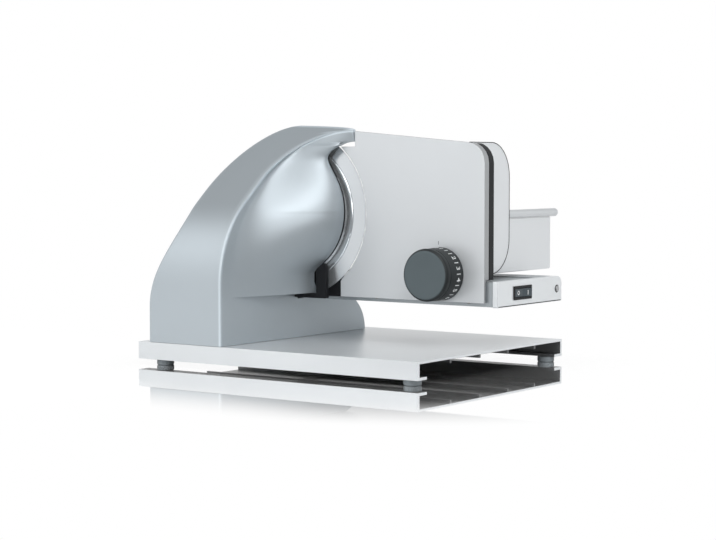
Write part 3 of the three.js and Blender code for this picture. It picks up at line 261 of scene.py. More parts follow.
class StageSettings(bpy.types.PropertyGroup):
    """Camera, light and floor."""

    camera: FloatVectorProperty(
        name="Camera",
        description="The camera's place, from the middle of the base",
        default=(1.0506, -1.4715, 0.1976),
        subtype="TRANSLATION",
    )
    azimuth: angle("Azimuth", "The camera's turn", 35.318)
    pitch: angle("Pitch", "The camera's tilt downwards", 3.298)
    lens: FloatProperty(name="Lens", description="Focal length in mm", default=90.5)
    sensor: FloatProperty(name="Sensor", description="Width of the camera's frame in mm", default=36)
    floor: length("Floor", "Half the floor's side", 30.0)
    mirror: factor("Mirror", "Share of mirror in the floor near the object", 0.95)
    mirror_near: length("Mirror near", "Where the mirror starts to fade, from the base", 0.08)
    mirror_far: length("Mirror far", "Where the mirror has faded, from the base", 0.25)
    mirror_start: factor("Mirror start", "The floor's turn from the viewer at which it starts to mirror", 0.74)
    mirror_full: factor("Mirror full", "The turn at which the mirror is full", 0.865)
    ambient: factor("Ambient", "Share of the surround that lights matte surfaces", 0.42)
    left_gain: factor("Left gain", "How much brighter the front left is", 0.15)
    right_loss: factor("Right loss", "How much darker the front right is", 0.75)
    top_loss: factor("Top loss", "How much darker the surround is overhead", 0.75)


# Mesh helpers

DOUBLES = 2e-6  # metres between points that are merged
COLLAPSED = 1e-6  # metres below which an edge counts as none
FLAT = math.radians(0.6)  # turn up to which neighbouring faces become one


def turned(node):
    """A turned node's axis as (x, z), its radius, and its front and rear along Y."""
    low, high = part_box(node)
    return ((low.x + high.x) / 2, (low.z + high.z) / 2), (high.z - low.z) / 2, low.y, high.y


def link(mesh, node, look):
    """A piece from a finished mesh: it rides with a node and takes a finish, and the node's slot or another."""
    piece = bpy.data.objects.new(mesh.name, mesh)
    bpy.context.scene.collection.objects.link(piece)
    mesh.materials.clear()
    mesh.materials.append(finish(look))
    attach(piece, BODIES[node])
    return piece


def smooth(mesh, degrees=30):
    """Smooth shading, with edges sharper than an angle kept."""
    mesh.polygons.foreach_set("use_smooth", np.ones(len(mesh.polygons), bool))
    mesh.set_sharp_from_angle(angle=math.radians(degrees))
    return mesh


def tidy_mesh(mesh, flatten=False):
    """Merges doubles, drops collapsed faces and turns all faces outwards."""
    work = bmesh.new()
    work.from_mesh(mesh)
    bmesh.ops.remove_doubles(work, verts=work.verts, dist=DOUBLES)
    bmesh.ops.dissolve_degenerate(work, dist=COLLAPSED, edges=work.edges)
    if flatten:
        bmesh.ops.dissolve_limit(work, angle_limit=FLAT, verts=work.verts, edges=work.edges)
    bmesh.ops.recalc_face_normals(work, faces=work.faces)
    work.to_mesh(mesh)
    work.free()
    return mesh


def new_mesh(name, points, faces):
    """A tidied mesh from its points and faces."""
    mesh = bpy.data.meshes.new(name)
    mesh.from_pydata(points, [], faces)
    return tidy_mesh(mesh)


def read_points(mesh):
    """The mesh's points as a (count, 3) array."""
    points = np.empty(len(mesh.vertices) * 3, np.float32)
    mesh.vertices.foreach_get("co", points)
    return points.reshape(-1, 3).astype(float)


def grid_mesh(name, points, wrap_rows=False, wrap_columns=False, caps=False):
    """A mesh from a (rows, columns, 3) array: a quad between each four neighbours.

    Rows or columns can close on themselves, and caps close the first and the last row.
    """
    rows, columns = points.shape[:2]
    index = np.arange(rows * columns).reshape(rows, columns)
    if wrap_rows:
        index = np.vstack([index, index[:1]])
    if wrap_columns:
        index = np.hstack([index, index[:, :1]])
    corners = [index[:-1, :-1], index[:-1, 1:], index[1:, 1:], index[1:, :-1]]
    faces = np.stack(corners, axis=-1).reshape(-1, 4).tolist()
    if caps:
        ring = np.arange(columns)
        faces.append(ring[::-1].tolist())
        faces.append((ring + (rows - 1) * columns).tolist())
    return new_mesh(name, points.reshape(-1, 3), faces)


def lathe(name, profile, centre, facets):
    """Turns a (radius, Y) profile about a line along Y: x = cx + r cos a, z = cz + r sin a.

    The profile is a closed loop, or starts and ends on the axis.
    """
    radius, depth = np.array(profile).T
    turn = np.linspace(0, 2 * np.pi, facets, endpoint=False)[:, None]
    points = np.stack([
        centre[0] + radius * np.cos(turn),
        np.broadcast_to(depth, (facets, len(depth))),
        centre[1] + radius * np.sin(turn),
    ], axis=-1)
    return grid_mesh(name, points, wrap_rows=True)


def arc(centre, radius, start, end, steps):
    """Points of an arc in a profile, from one angle in degrees to another."""
    turn = np.radians(np.linspace(start, end, steps))
    return [(centre[0] + radius * c, centre[1] + radius * s) for c, s in zip(np.cos(turn), np.sin(turn))]


def subtract(mesh, *tools):
    """The mesh with the tools' volumes cut out of it."""
    target = bpy.data.objects.new("cut", mesh)
    bpy.context.scene.collection.objects.link(target)
    cutters = []
    for tool in tools:
        cutter = bpy.data.objects.new("cutter", tool)
        bpy.context.scene.collection.objects.link(cutter)
        modifier = target.modifiers.new("Cut", "BOOLEAN")
        modifier.operation = "DIFFERENCE"
        modifier.solver = "MANIFOLD"
        modifier.object = cutter
        cutters.append(cutter)
    bpy.context.view_layer.update()
    shaped = target.evaluated_get(bpy.context.evaluated_depsgraph_get())
    result = bpy.data.meshes.new_from_object(shaped)
    for used in [target, *cutters]:
        bpy.data.objects.remove(used)
    return result


def softened(node, width):
    """A copy of a CAD node with merged faces and rounded edges, which stands for the node."""
    settings = bpy.context.scene.slicer_edges
    mesh = tidy_mesh(frame["nodes"][node].data.copy(), flatten=True)
    mesh.name = node + "_soft"
    piece = link(smooth(mesh, 32), node, FINISHES.get(node, SLOTS[node]))
    bevel = piece.modifiers.new("Edges", "BEVEL")
    bevel.width = width
    bevel.segments = settings.segments
    bevel.limit_method = "ANGLE"
    bevel.angle_limit = settings.sharp
    bevel.use_clamp_overlap = True
    bevel.harden_normals = True
    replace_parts(piece, node)
    return piece


# Housing form


def ease(share):
    """The smooth step 3t^2 - 2t^3, held at 0 and 1 outside the share."""
    t = np.clip(share, 0, 1)
    return t * t * (3 - 2 * t)


def quarter(share):
    """A quarter ellipse's fall: 1 - sqrt(1 - t^2), from 0 at the start of the share to 1 at its end."""
    return 1 - np.sqrt(1 - np.clip(share, 0, 1) ** 2)


def soft_max(first, second, reach):
    """The larger of two values, plus (reach - gap)^2 / 4 reach where the gap between them is smaller."""
    near = np.maximum(reach - np.abs(first - second), 0)
    return np.maximum(first, second) + near ** 2 / (4 * reach)


def rounded_corner(before, at, after, radius, steps):
    """A quadratic curve across each row's corner, as a (rows, steps, 2) array.

    It starts and ends a radius away from the corner, or 0.45 of the way to the next point if that is less.
    """
    def towards(point):
        reach = np.linalg.norm(point - at, axis=1, keepdims=True)
        return at + (point - at) * np.minimum(radius[:, None] / reach, 0.45)

    start, end = towards(before), towards(after)
    t = np.linspace(0, 1, steps)[None, :, None]
    return (1 - t) ** 2 * start[:, None] + 2 * t * (1 - t) * at[:, None] + t * t * end[:, None]


def closer_at_ends(low, high, rows):
    """Heights between two limits, closer together towards both ends: their cosines are even."""
    return low + (high - low) * (1 - np.cos(np.linspace(0, np.pi, rows))) / 2


def between(start, end, steps):
    """Evenly spaced points of each row, between two ends that are left out."""
    t = (np.arange(steps) + 1)[None, :, None] / (steps + 1)
    return start[:, None] * (1 - t) + end[:, None] * t


class HousingForm:
    """The housing's outline at each height, worked out for all heights at once.

    Each outline runs from the rear left along the side to the front, across the band with two round
    corners, along the right side, which swells into the dome, and to the rear right.
    """

    LEAST = 0.001  # metres that a band or a side keeps where it runs out
    SWELL_POWER = 0.9  # how early the side starts to swell
    LEFT_STEPS, LEFT_CORNER_STEPS, BAND_STEPS, RIGHT_CORNER_STEPS, SIDE_STEPS = 6, 9, 9, 7, 61
    FOOT_ROWS, DOME_ROWS, NOSE_ROWS = 28, 170, 14
    HOLLOW_FOOT_ROWS, HOLLOW_DOME_ROWS = 12, 40
    ROOM_FACETS = 200

    def __init__(self):
        self.size = bpy.context.scene.slicer_housing
        low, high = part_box("motor_housing")
        beam_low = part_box("guide_beam")[0]
        self.left, self.front, self.bottom = low
        self.nose_x, self.rear, self.crest_z = high
        self.base_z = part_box("base_profile")[1].z
        self.right = self.left + self.size.band_width
        (self.blade_x, self.blade_z), self.blade_radius, _, self.plane = turned("blade")
        self.roof_z = beam_low.z - self.size.seat
        self.dome_z = beam_low.z + self.size.dome_bottom
        self.dome_y = self.plane - self.size.dome_back
        self.rim_y = self.plane + self.size.rim_rear
        self.crest_x = self.blade_x + self.size.crest_shift
        self.nose_z = self.crest_z - self.size.nose_drop
        self.nose_under = self.nose_z - self.size.nose_height

    def front_y(self, z):
        """Upright, then one radius, then a straight slope that ends at the crest."""
        bend = self.size.bend
        start = self.base_z + self.size.upright
        run = self.plane - self.size.crest_front - self.front
        rise = self.crest_z - start
        turn = math.asin(bend / math.hypot(rise, bend - run)) - math.atan2(bend - run, rise)
        height = np.maximum(z - start, 0)
        bent = bend * math.sin(turn)
        curve = bend * (1 - np.sqrt(1 - (np.minimum(height, bent) / bend) ** 2))
        return self.front + curve + np.maximum(height - bent, 0) * math.tan(turn)

    def band_left(self, z):
        """The band's left edge: a smooth lean to the right, then a quarter ellipse to the crest."""
        size = self.size
        leaning = size.lean * ease((z - self.base_z - size.lean_start) / size.lean_height)
        over = quarter((z - self.crest_z + size.crest_height) / size.crest_height)
        return self.left + leaning + (self.crest_x - self.left - size.lean) * over

    def rim_left(self, z):
        """The left side at the blade's plane: upright, then a quarter ellipse round the blade."""
        over = quarter((z - self.blade_z) / (self.crest_z - self.blade_z))
        return self.left + (self.crest_x - self.left) * over

    def band_right(self, z):
        """The band's right edge: upright, a quarter ellipse out to the nose, then back along the ridge."""
        sweep = self.size.band_sweep
        out = self.right + (self.nose_x - self.right) * quarter((z - self.nose_z + sweep) / sweep)
        back = np.clip((z - self.nose_z) / self.size.nose_drop, 0, 1) ** self.size.ridge_power
        return np.where(z > self.nose_z, self.nose_x + (self.crest_x - self.nose_x) * back, out)

    def ridge_drop(self, x):
        """How far the ridge lies below the crest at a place along it."""
        share = np.clip((x - self.crest_x) / (self.nose_x - self.crest_x), 0, 1)
        return self.size.nose_drop * (1 - (1 - share) ** (1 / self.size.ridge_power))

    def dome_circle(self, z):
        """The circle of the dome about the blade's axis, as its right edge at a height."""
        rise = z - self.blade_z - self.size.dome_rise
        return self.blade_x + np.sqrt(np.maximum(self.size.dome_radius ** 2 - rise ** 2, 0))

    def dome_right(self, z):
        """The dome's rear edge: a circle round the blade's axis, upright below, hollow under the nose."""
        size = self.size
        share = (z - self.nose_under + size.hook_height) / size.hook_height
        hollow = self.nose_x - size.hook_reach * (1 - quarter(share))
        other = np.where(z < self.blade_z, self.blade_x + size.dome_foot, hollow)
        below = soft_max(self.dome_circle(z), other, size.dome_blend)
        return np.where(z > self.nose_under, self.band_right(np.maximum(z, self.nose_z)), below)

    def side_right(self, z):
        """The curve that the side in front of the rear edge heads for: the same, with softer turns."""
        size = self.size
        middle = self.blade_z + size.dome_rise
        rising = ease((z - self.dome_z) / (middle - self.dome_z))
        lower = self.blade_x + size.dome_foot + (size.dome_radius - size.dome_foot) * rising
        start = self.nose_under - size.side_blend
        hollow = self.nose_x - size.hook_reach * (1 - ease((z - start) / (self.nose_z - start)))
        upper = soft_max(self.dome_circle(z), hollow, size.side_blend)
        return np.where(z > self.nose_z, self.band_right(z), np.where(z < middle, lower, upper))

    def side_rear(self, z):
        """How far back the side goes before it turns into the dome's rear edge."""
        moved = ease((z - self.nose_under + self.size.nose_turn) / self.size.nose_turn)
        return self.dome_y + (self.rim_y - self.size.nose_end - self.dome_y) * moved

    def painted_edge_highlight(self, points):
        """How strongly the painted highlight lies on points: 1 on the band's right edge, falling to 0 with the
        distance from that curve.
        """
        size = self.size
        x, y, z = points.T

        def edge(height):
            right = self.band_right(height)
            return right, self.front_y(np.minimum(height + self.ridge_drop(right), self.crest_z))

        near, low, high = edge(z), edge(z - size.painted_edge_highlight), edge(z + size.painted_edge_highlight)
        slope = [(b - a) / (2 * size.painted_edge_highlight) for a, b in zip(low, high)]
        away = np.hypot(x - near[0], y - near[1]) / np.sqrt(1 + slope[0] ** 2 + slope[1] ** 2)
        return 1 - ease((away - size.painted_edge_highlight) / size.painted_edge_highlight)

    def foot_rear(self, z):
        """The foot's rear: a quarter ellipse that rounds over below the beam."""
        return self.rear - self.size.foot_depth * quarter((z - self.bottom) / self.size.foot_height)

    def outlines(self, z, domed, rear, inset=0.0):
        """The (rows, points, 3) outlines at the heights z, moved inwards by an inset."""
        size = self.size
        up = np.minimum(z + inset, self.crest_z)
        x0 = self.rim_left(up) + inset
        x1 = self.band_left(up) + inset
        x2 = np.maximum(self.band_right(z) - inset, x1 + self.LEAST)
        x3 = np.where(domed, np.maximum(self.dome_right(z) - inset, x2), x2)
        aim = np.where(domed, np.maximum(self.side_right(z) - inset, x2), x2)
        x = x1[:, None] + (x2 - x1)[:, None] * np.linspace(0, 1, self.BAND_STEPS)
        ridge = np.minimum(up[:, None] + self.ridge_drop(x + inset), self.crest_z)
        y = np.minimum(self.front_y(ridge) + inset, self.rim_y - 2 * self.LEAST)
        front = np.stack([x, y], axis=-1)
        y1 = y[:, -1]
        y2 = np.maximum(self.dome_y, y1 + self.LEAST)
        y3 = np.maximum(self.side_rear(z), y2)
        share = np.linspace(0, 1, self.SIDE_STEPS)[None, 1:]
        swell = ease((share - size.swell_start) / (1 - size.swell_start)) ** self.SWELL_POWER
        end = aim[:, None] + (x3 - aim)[:, None] * share ** size.side_power
        side = np.stack([
            x2[:, None] + (end - x2[:, None]) * swell,
            y1[:, None] + (y2 - y1)[:, None] * share + (y3 - y2)[:, None] * share ** 2,
        ], axis=-1)
        rear_left = np.stack([x0, rear], axis=-1)
        room = (x2 - x1) / (2 * self.BAND_STEPS)
        radii = [np.minimum(corner, room) for corner in (size.left_corner, size.right_corner)]
        left = rounded_corner(rear_left, front[:, 0], front[:, 1], radii[0], self.LEFT_CORNER_STEPS)
        right = rounded_corner(front[:, -2], front[:, -1], side[:, 0], radii[1], self.RIGHT_CORNER_STEPS)
        flat = np.concatenate([
            rear_left[:, None],
            between(rear_left, left[:, 0], self.LEFT_STEPS),
            left,
            front[:, 1:-1],
            right,
            side,
            np.stack([x3, rear], axis=-1)[:, None],
        ], axis=1)
        height = np.broadcast_to(z[:, None, None], (*flat.shape[:2], 1))
        return np.concatenate([flat, height], axis=-1)

    def loft(self, name, foot, upright, above, inset=0.0):
        """A closed form through the outlines at the heights of the foot, the upright part and the dome."""
        z = np.concatenate([foot, upright, above])
        domed = np.arange(len(z)) >= len(foot) + len(upright)
        rear = np.where(domed, self.rim_y + inset, self.dome_y - inset)
        rear[:len(foot)] = self.foot_rear(foot) - inset
        return grid_mesh(name, self.outlines(z, domed, rear, inset), wrap_columns=True, caps=True)

    def skin(self):
        """The whole outer form: foot, roof under the beam, upright front, dome, hook and nose."""
        turn = np.sin(np.linspace(0, np.pi / 2, self.FOOT_ROWS))
        foot = self.bottom + (self.roof_z - self.bottom) * turn
        upright = np.array([self.roof_z, self.dome_z])
        dome = closer_at_ends(self.dome_z, self.nose_under, self.DOME_ROWS)
        nose = np.linspace(self.nose_under, self.nose_z, self.NOSE_ROWS)[1:]
        ridge = self.nose_z + (self.crest_z - self.nose_z) * turn[1:]
        return self.loft("housing_skin", foot, upright, np.concatenate([dome, nose, ridge]))

    def hollow(self):
        """The inside of the shell, one wall in from the skin and open at the rear and below."""
        wall = self.size.wall
        foot = np.linspace(self.bottom - wall, self.roof_z - wall, self.HOLLOW_FOOT_ROWS)
        upright = np.array([self.roof_z - wall, self.dome_z + wall])
        dome = closer_at_ends(self.dome_z + wall, self.nose_under - 3 * wall, self.HOLLOW_DOME_ROWS)
        return self.loft("housing_hollow", foot, upright, dome, wall)

    def blade_room(self):
        """The round recess for the blade: a cone that opens to the rear."""
        size = bpy.context.scene.slicer_blade
        gap = self.size.blade_gap
        outer = self.blade_radius + gap
        inner = self.blade_radius - size.bevel + 2 * gap
        past = self.rim_y + 2 * self.size.wall
        mouth = self.plane - size.edge - gap
        profile = [(0, self.dome_y), (inner, self.dome_y), (outer, mouth), (outer, past), (0, past)]
        return lathe("housing_room", profile, (self.blade_x, self.blade_z), self.ROOM_FACETS)


# Finishes


class Nodes:
    """Builds the node tree of one material or world step by step."""

    def __init__(self, name, library=None):
        self.material = (bpy.data.materials if library is None else library).new(name)
        self.material.use_nodes = True
        self.tree = self.material.node_tree
        self.shader = self.tree.nodes.get("Principled BSDF") or self.tree.nodes["Background"]

    def new(self, kind, inputs=(), **settings):
        """A node with its settings and its inputs: a value, or the output of another node."""
        node = self.tree.nodes.new(kind)
        for key, value in settings.items():
            setattr(node, key, value)
        for key, value in dict(inputs).items():
            if isinstance(value, bpy.types.NodeSocket):
                self.tree.links.new(value, node.inputs[key])
            else:
                node.inputs[key].default_value = value
        return node

    def place(self, scale=(1, 1, 1), centre=(0, 0, 0)):
        """Object coordinates about a centre, scaled along each axis."""
        source = self.new("ShaderNodeTexCoord").outputs["Object"]
        shift = tuple(-c * s for c, s in zip(centre, scale))
        inputs = {"Vector": source, "Location": shift, "Scale": scale}
        return self.new("ShaderNodeMapping", inputs).outputs["Vector"]

    def noise(self, scale, detail=3.0, roughness=0.5, stretch=(1, 1, 1), vector=None):
        """Noise between 0 and 1, on Object coordinates that can be stretched, or on another vector."""
        vector = vector or self.place(stretch)
        inputs = {"Vector": vector, "Scale": scale, "Detail": detail, "Roughness": roughness}
        return self.new("ShaderNodeTexNoise", inputs).outputs["Fac"]

    def spread(self, value, low, high, start=0.3, end=0.7, curve="LINEAR"):
        """Maps a value from one range to another."""
        inputs = {"Value": value, "From Min": start, "From Max": end, "To Min": low, "To Max": high}
        return self.new("ShaderNodeMapRange", inputs, interpolation_type=curve).outputs["Result"]

    def math(self, kind, first, second):
        """A sum, a product or the like of two values."""
        return self.new("ShaderNodeMath", {0: first, 1: second}, operation=kind).outputs[0]

    def less(self, value, limit):
        """1 where a value is below a limit, and 0 elsewhere."""
        return self.math("LESS_THAN", value, limit)

    def vector(self, kind, first, second=(0, 0, 0), result="Vector"):
        """A vector or a value from one or two vectors."""
        return self.new("ShaderNodeVectorMath", {0: first, 1: second}, operation=kind).outputs[result]

    def scaled(self, vector, share):
        """A vector or colour times a value."""
        inputs = {0: vector, "Scale": share}
        return self.new("ShaderNodeVectorMath", inputs, operation="SCALE").outputs["Vector"]

    def facing(self, axis):
        """How squarely a face looks along an axis, from 0 to 1."""
        normal = self.vector("ABSOLUTE", self.new("ShaderNodeNewGeometry").outputs["True Normal"])
        return self.new("ShaderNodeSeparateXYZ", {"Vector": normal}).outputs[axis]

    def blend(self, share, first, second):
        """A mix of two shaders."""
        return self.new("ShaderNodeMixShader", {0: share, 1: first, 2: second}).outputs["Shader"]

    def seen(self):
        """1 for rays that show a background: from the camera, in reflections and through glass."""
        path = self.new("ShaderNodeLightPath").outputs
        direct = self.math("MAXIMUM", path["Is Camera Ray"], path["Is Glossy Ray"])
        return self.math("MAXIMUM", direct, path["Is Transmission Ray"])

    def shade(self, value, base, low, high):
        """The base colour, darkened or lightened by a value between two factors."""
        ramp = self.new("ShaderNodeValToRGB", {"Fac": value})
        ramp.color_ramp.elements[0].color = (*[min(c * low, 1) for c in base], 1)
        ramp.color_ramp.elements[1].color = (*[min(c * high, 1) for c in base], 1)
        return ramp.outputs["Color"]

    def bump(self, height, strength, distance=0.0001):
        """A normal from a height."""
        inputs = {"Height": height, "Strength": strength, "Distance": distance}
        return self.new("ShaderNodeBump", inputs).outputs["Normal"]

    def sockets(self, **values):
        """Sets the shader's sockets: values directly, the rest as links."""
        for key, value in values.items():
            socket = self.shader.inputs[key.replace("_", " ")]
            if isinstance(value, bpy.types.NodeSocket):
                self.tree.links.new(value, socket)
            else:
                socket.default_value = value
        return self.material

    def finish(self, base, tone, gloss, relief=None, dim=None, **values):
        """A finish from noises, each with its range: the colour's factors, the roughness, the bump's strength.

        dim scales the colour, and the other values go straight on the shader's sockets.
        """
        shade = self.shade(tone[0], base, *tone[1:])
        values["Base_Color"] = self.scaled(shade, dim) if dim else shade
        values["Roughness"] = self.spread(*gloss)
        if relief:
            values["Normal"] = self.bump(*relief)
        return self.sockets(**values)


def silver_paint(name, base):
    """Metallic paint: fine flakes, a faint orange peel, slow changes of gloss and a painted highlight along the
    band's right edge.
    """
    n = Nodes(name)
    # Painted highlight: the paint is up to 1.45 times brighter along the band's right edge, for the light that
    # edge catches.
    worn = n.spread(n.new("ShaderNodeAttribute", attribute_name="worn").outputs["Fac"], 1.0, 1.45, 0, 1)
    flakes, peel, slow = n.noise(5200, 2), n.noise(900, 2), n.noise(9)
    return n.finish(base, (flakes, 0.88, 1.12), (slow, 0.45, 0.50), (peel, 0.05, 0.0002), worn, Metallic=0.68)


def inside_shade_mask(n, node, wall, corner):
    """1 on the inner faces of an open channel along X and on its ribs' ends, and 0 elsewhere.

    Inner faces lie a wall inside its sides and top. An end face counts from a corner inside its sides.
    """
    low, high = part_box(node)
    half = (high - low) / 2
    place = n.new("ShaderNodeSeparateXYZ", {"Vector": n.place((1, 1, 1), (low + high) / 2)}).outputs
    across = n.math("ABSOLUTE", place["Y"], 0)
    inside = n.math("MULTIPLY", n.less(across, half.y - wall), n.less(place["Z"], half.z - wall))
    rib = n.math("MULTIPLY", n.less(across, half.y - corner), n.less(place["Z"], half.z - 2 * wall))
    return n.math("MULTIPLY", inside, n.math("MAXIMUM", n.less(n.facing("X"), 0.5), rib))


def anodised_aluminium(name, base, inside=1.0):
    """Satin extrusion: fine drawing lines along X under an even skin; the base's inside can be painted darker as
    shade.
    """
    n = Nodes(name)
    # Painted shade: the base's inner faces and its ribs' ends are darkened to the inside share.
    dim = n.spread(inside_shade_mask(n, "base_profile", 0.001, 0.02), 1.0, inside, 0, 1) if inside < 1 else None
    lines = n.noise(1.0, 3, 0.6, (4, 1400, 1400))
    grain, slow = n.noise(2600, 2), n.noise(14)
    return n.finish(
        base, (slow, 0.95, 1.05), (lines, 0.275, 0.29), (grain, 0.06), dim, Metallic=0.45, Anisotropic=0.2
    )


def satin_aluminium(name, base, edge=1.0, metal=0.6):
    """Satin sheet: a close brushed grain along X with slow cloudy changes; faces that don't face along Y can be
    painted darker as shade.
    """
    n = Nodes(name)
    # Painted shade: the sheet's sides, which don't face along Y, are darkened to the edge share.
    dim = n.spread(n.facing("Y"), edge, 1.0, 0.4, 0.9) if edge < 1 else None
    lines, slow = n.noise(1.0, 4, 0.65, (10, 2200, 2200)), n.noise(11)
    return n.finish(
        base, (slow, 0.96, 1.04), (lines, 0.36, 0.41), (lines, 0.02), dim, Metallic=metal, Anisotropic=0.15
    )


def blade_steel(name, base):
    """Ground steel: rings about the blade's axis, from noise on the distance to that axis."""
    n = Nodes(name)
    radius = n.vector("LENGTH", n.place((1, 0, 1), JOINTS["blade_spin"]["pos_m"]), result="Value")
    rings = n.noise(2600, 3, 0.7, vector=n.new("ShaderNodeCombineXYZ", {"X": radius}).outputs["Vector"])
    return n.finish(base, (n.noise(18, 2), 0.94, 1.06), (rings, 0.20, 0.26), (rings, 0.05), Metallic=0.75)


def machined_steel(name, base):
    """Turned steel: tool marks across Z and a few darker patches."""
    n = Nodes(name)
    marks = n.noise(1.0, 2, stretch=(200, 200, 3000))
    return n.finish(base, (n.noise(40), 0.85, 1.1), (marks, 0.28, 0.46), (marks, 0.08), Metallic=0.9)


def sintered_bronze(name, base):
    """Porous bronze: small dark pores in a dull warm metal."""
    n = Nodes(name)
    pores = n.noise(2200)
    return n.finish(base, (pores, 0.7, 1.1), (pores, 0.55, 0.40), (pores, 0.15), Metallic=0.85)


def grained_plastic(name, base, roughness, depth, gloss, side=1.0):
    """Moulded plastic: a fine spark grain in the surface and faint changes of gloss; sides, which don't face along
    Y, can be painted darker as shade.
    """
    n = Nodes(name)
    # Painted shade: the sides are darkened to the side share.
    dim = n.spread(n.facing("Y"), side, 1.0, 0.85, 0.98) if side < 1 else None
    grain, slow = n.noise(2400, 3, 0.6), n.noise(30)
    range_of_gloss = (slow, roughness - 0.04, roughness + 0.04)
    return n.finish(base, (slow, 0.9, 1.12), range_of_gloss, (grain, depth), dim, Specular_IOR_Level=gloss)


def grey_rubber(name, base):
    """Rubber: soft mottling, dusty and matte."""
    n = Nodes(name)
    mottle, grain = n.noise(220, 4), n.noise(3000, 2)
    return n.finish(base, (mottle, 0.86, 1.1), (mottle, 0.62, 0.78), (grain, 0.2), Sheen_Weight=0.1)


def zinc_plate(name, base):
    """Zinc plating: crystal spangles of slightly different grey."""
    n = Nodes(name)
    cells = n.new("ShaderNodeTexVoronoi", {"Vector": n.place(), "Scale": 320.0}).outputs["Color"]
    spangle = n.new("ShaderNodeSeparateColor", {"Color": cells}).outputs["Red"]
    return n.finish(base, (spangle, 0.88, 1.08), (spangle, 0.38, 0.5, 0, 1), Metallic=0.85)


def pad_print(name, base):
    """Pad print: an even ink with small thin spots."""
    n = Nodes(name)
    spots = n.noise(1800)
    return n.finish(base, (spots, 0.9, 1.05), (spots, 0.5, 0.62))


def finish(look):
    """The material of a look, made once: its maker, its colour and the maker's other values."""
    label = f"{look}_finish"
    made = bpy.data.materials.get(label)
    if made:
        return made
    tone = bpy.context.scene.slicer_finish
    maker, *values = {
        "silver_paint": (silver_paint, tone.paint),
        "anodised_aluminium": (anodised_aluminium, tone.anodised),
        # The base: its inside painted down to 0.18 of its colour as shade.
        "base_aluminium": (anodised_aluminium, tone.anodised, 0.18),
        # The beam: a darker colour as painted shade, for the shadow under the stop plate.
        "beam_aluminium": (anodised_aluminium, tone.beam),
        "satin_aluminium": (satin_aluminium, tone.sheet),
        # The stop plate: its sides painted down to 0.55 of its colour as shade.
        "plate_aluminium": (satin_aluminium, tone.plate, 0.55, 0.4),
        "rail_aluminium": (satin_aluminium, tone.plate),
        "blade_steel": (blade_steel, tone.blade),
        "machined_steel": (machined_steel, tone.steel),
        "bearing_bronze": (sintered_bronze, tone.bronze),
        "anthracite_plastic": (grained_plastic, tone.anthracite, 0.50, 0.18, 0.4),
        # The dial: its round sides painted down to 0.16 of its colour as shade.
        "dial_plastic": (grained_plastic, tone.dial, 0.45, 0.18, 0.35, 0.16),
        "black_plastic": (grained_plastic, tone.black, 0.50, 0.12, 0.2),
        "grey_rubber": (grey_rubber, tone.rubber),
        "zinc_plated_steel": (zinc_plate, tone.zinc),
        "gear_nylon": (grained_plastic, tone.nylon, 0.5, 0.08, 0.45),
        "print": (pad_print, tone.print),
        "index": (pad_print, tone.index),
    }[look]
    return maker(label, *values)


# Operators, one for each piece or group of like pieces


class SLICER_OT_housing(bpy.types.Operator):
    """Build the swept housing as one smooth shell"""

    bl_idname = "slicer.housing"
    bl_label = "Housing"

    def execute(self, context):
        form = HousingForm()
        mesh = subtract(form.skin(), form.hollow(), form.blade_room())
        if not mesh.polygons:
            raise RuntimeError("the housing came out empty")
        mesh.name = "housing_shell"
        smooth(tidy_mesh(mesh), 26)
        # The painted highlight along the band's right edge, kept on the points for the paint.
        worn = form.painted_edge_highlight(read_points(mesh)).astype(np.float32)
        mesh.attributes.new("worn", "FLOAT", "POINT").data.foreach_set("value", worn)
        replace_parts(link(mesh, "motor_housing", "silver_paint"), "motor_housing")
        return {"FINISHED"}


class SLICER_OT_blade(bpy.types.Operator):
    """Turn the blade from its ground section"""

    bl_idname = "slicer.blade"
    bl_label = "Blade"

    def execute(self, context):
        size = context.scene.slicer_blade
        centre, radius, front, plane = turned("blade")
        ring = plane - size.ring_dish
        shoulder = radius - size.bevel
        step = size.ring_radius + size.ring_step
        profile = [
            (size.bore, front),
            (size.ring_radius, front),
            (step, ring),
            (shoulder - 3 * size.groove, ring),
            (shoulder - 2 * size.groove, ring + size.groove),
            (shoulder - size.groove, ring + size.groove),
            (shoulder, ring),
            (radius - 2 * size.groove, plane - 2 * size.edge),
            (radius, plane - size.edge),
            (radius, plane),
            (radius - size.thickness, plane - size.edge),
            (step + size.edge, ring + size.thickness),
            (size.ring_radius + size.edge, front + size.thickness),
            (size.bore, front + size.thickness),
            (size.bore, front),
        ]
        mesh = smooth(lathe("blade_ground", profile, centre, size.facets), 20)
        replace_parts(link(mesh, "blade", "blade_steel"), "blade")
        return {"FINISHED"}


class SLICER_OT_dial(bpy.types.Operator):
    """Turn the dial, with a groove behind its front edge"""

    bl_idname = "slicer.dial"
    bl_label = "Dial"
    DISH = ((0.8, 0.05), (0.6, 0.35), (0.3, 0.8), (0, 1))  # shares of the radius and of the dish's depth

    def execute(self, context):
        size = context.scene.slicer_dial
        centre, solid, face, back = turned("dial")
        inner = solid - size.wall
        outer, rear = solid + size.flare_front, solid + size.flare_rear
        roof = face + size.hollow + size.wall
        groove = face + 2 * size.edge
        profile = [
            (inner, back),
            *arc((rear - size.rim, back - size.rim), size.rim, 90, 0, 4),
            *arc((outer, groove + size.groove), size.groove, 90, 270, 9)[1:-1],
            *arc((outer - size.edge, face + size.edge), size.edge, 0, -90, 12),
            *[(outer * out, face + size.hollow * deep) for out, deep in self.DISH],
            (0, roof),
            (inner, roof),
            (inner, back),
        ]
        mesh = smooth(lathe("dial_turned", profile, centre, size.facets), 40)
        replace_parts(link(mesh, "dial", "dial_plastic"), "dial")
        return {"FINISHED"}


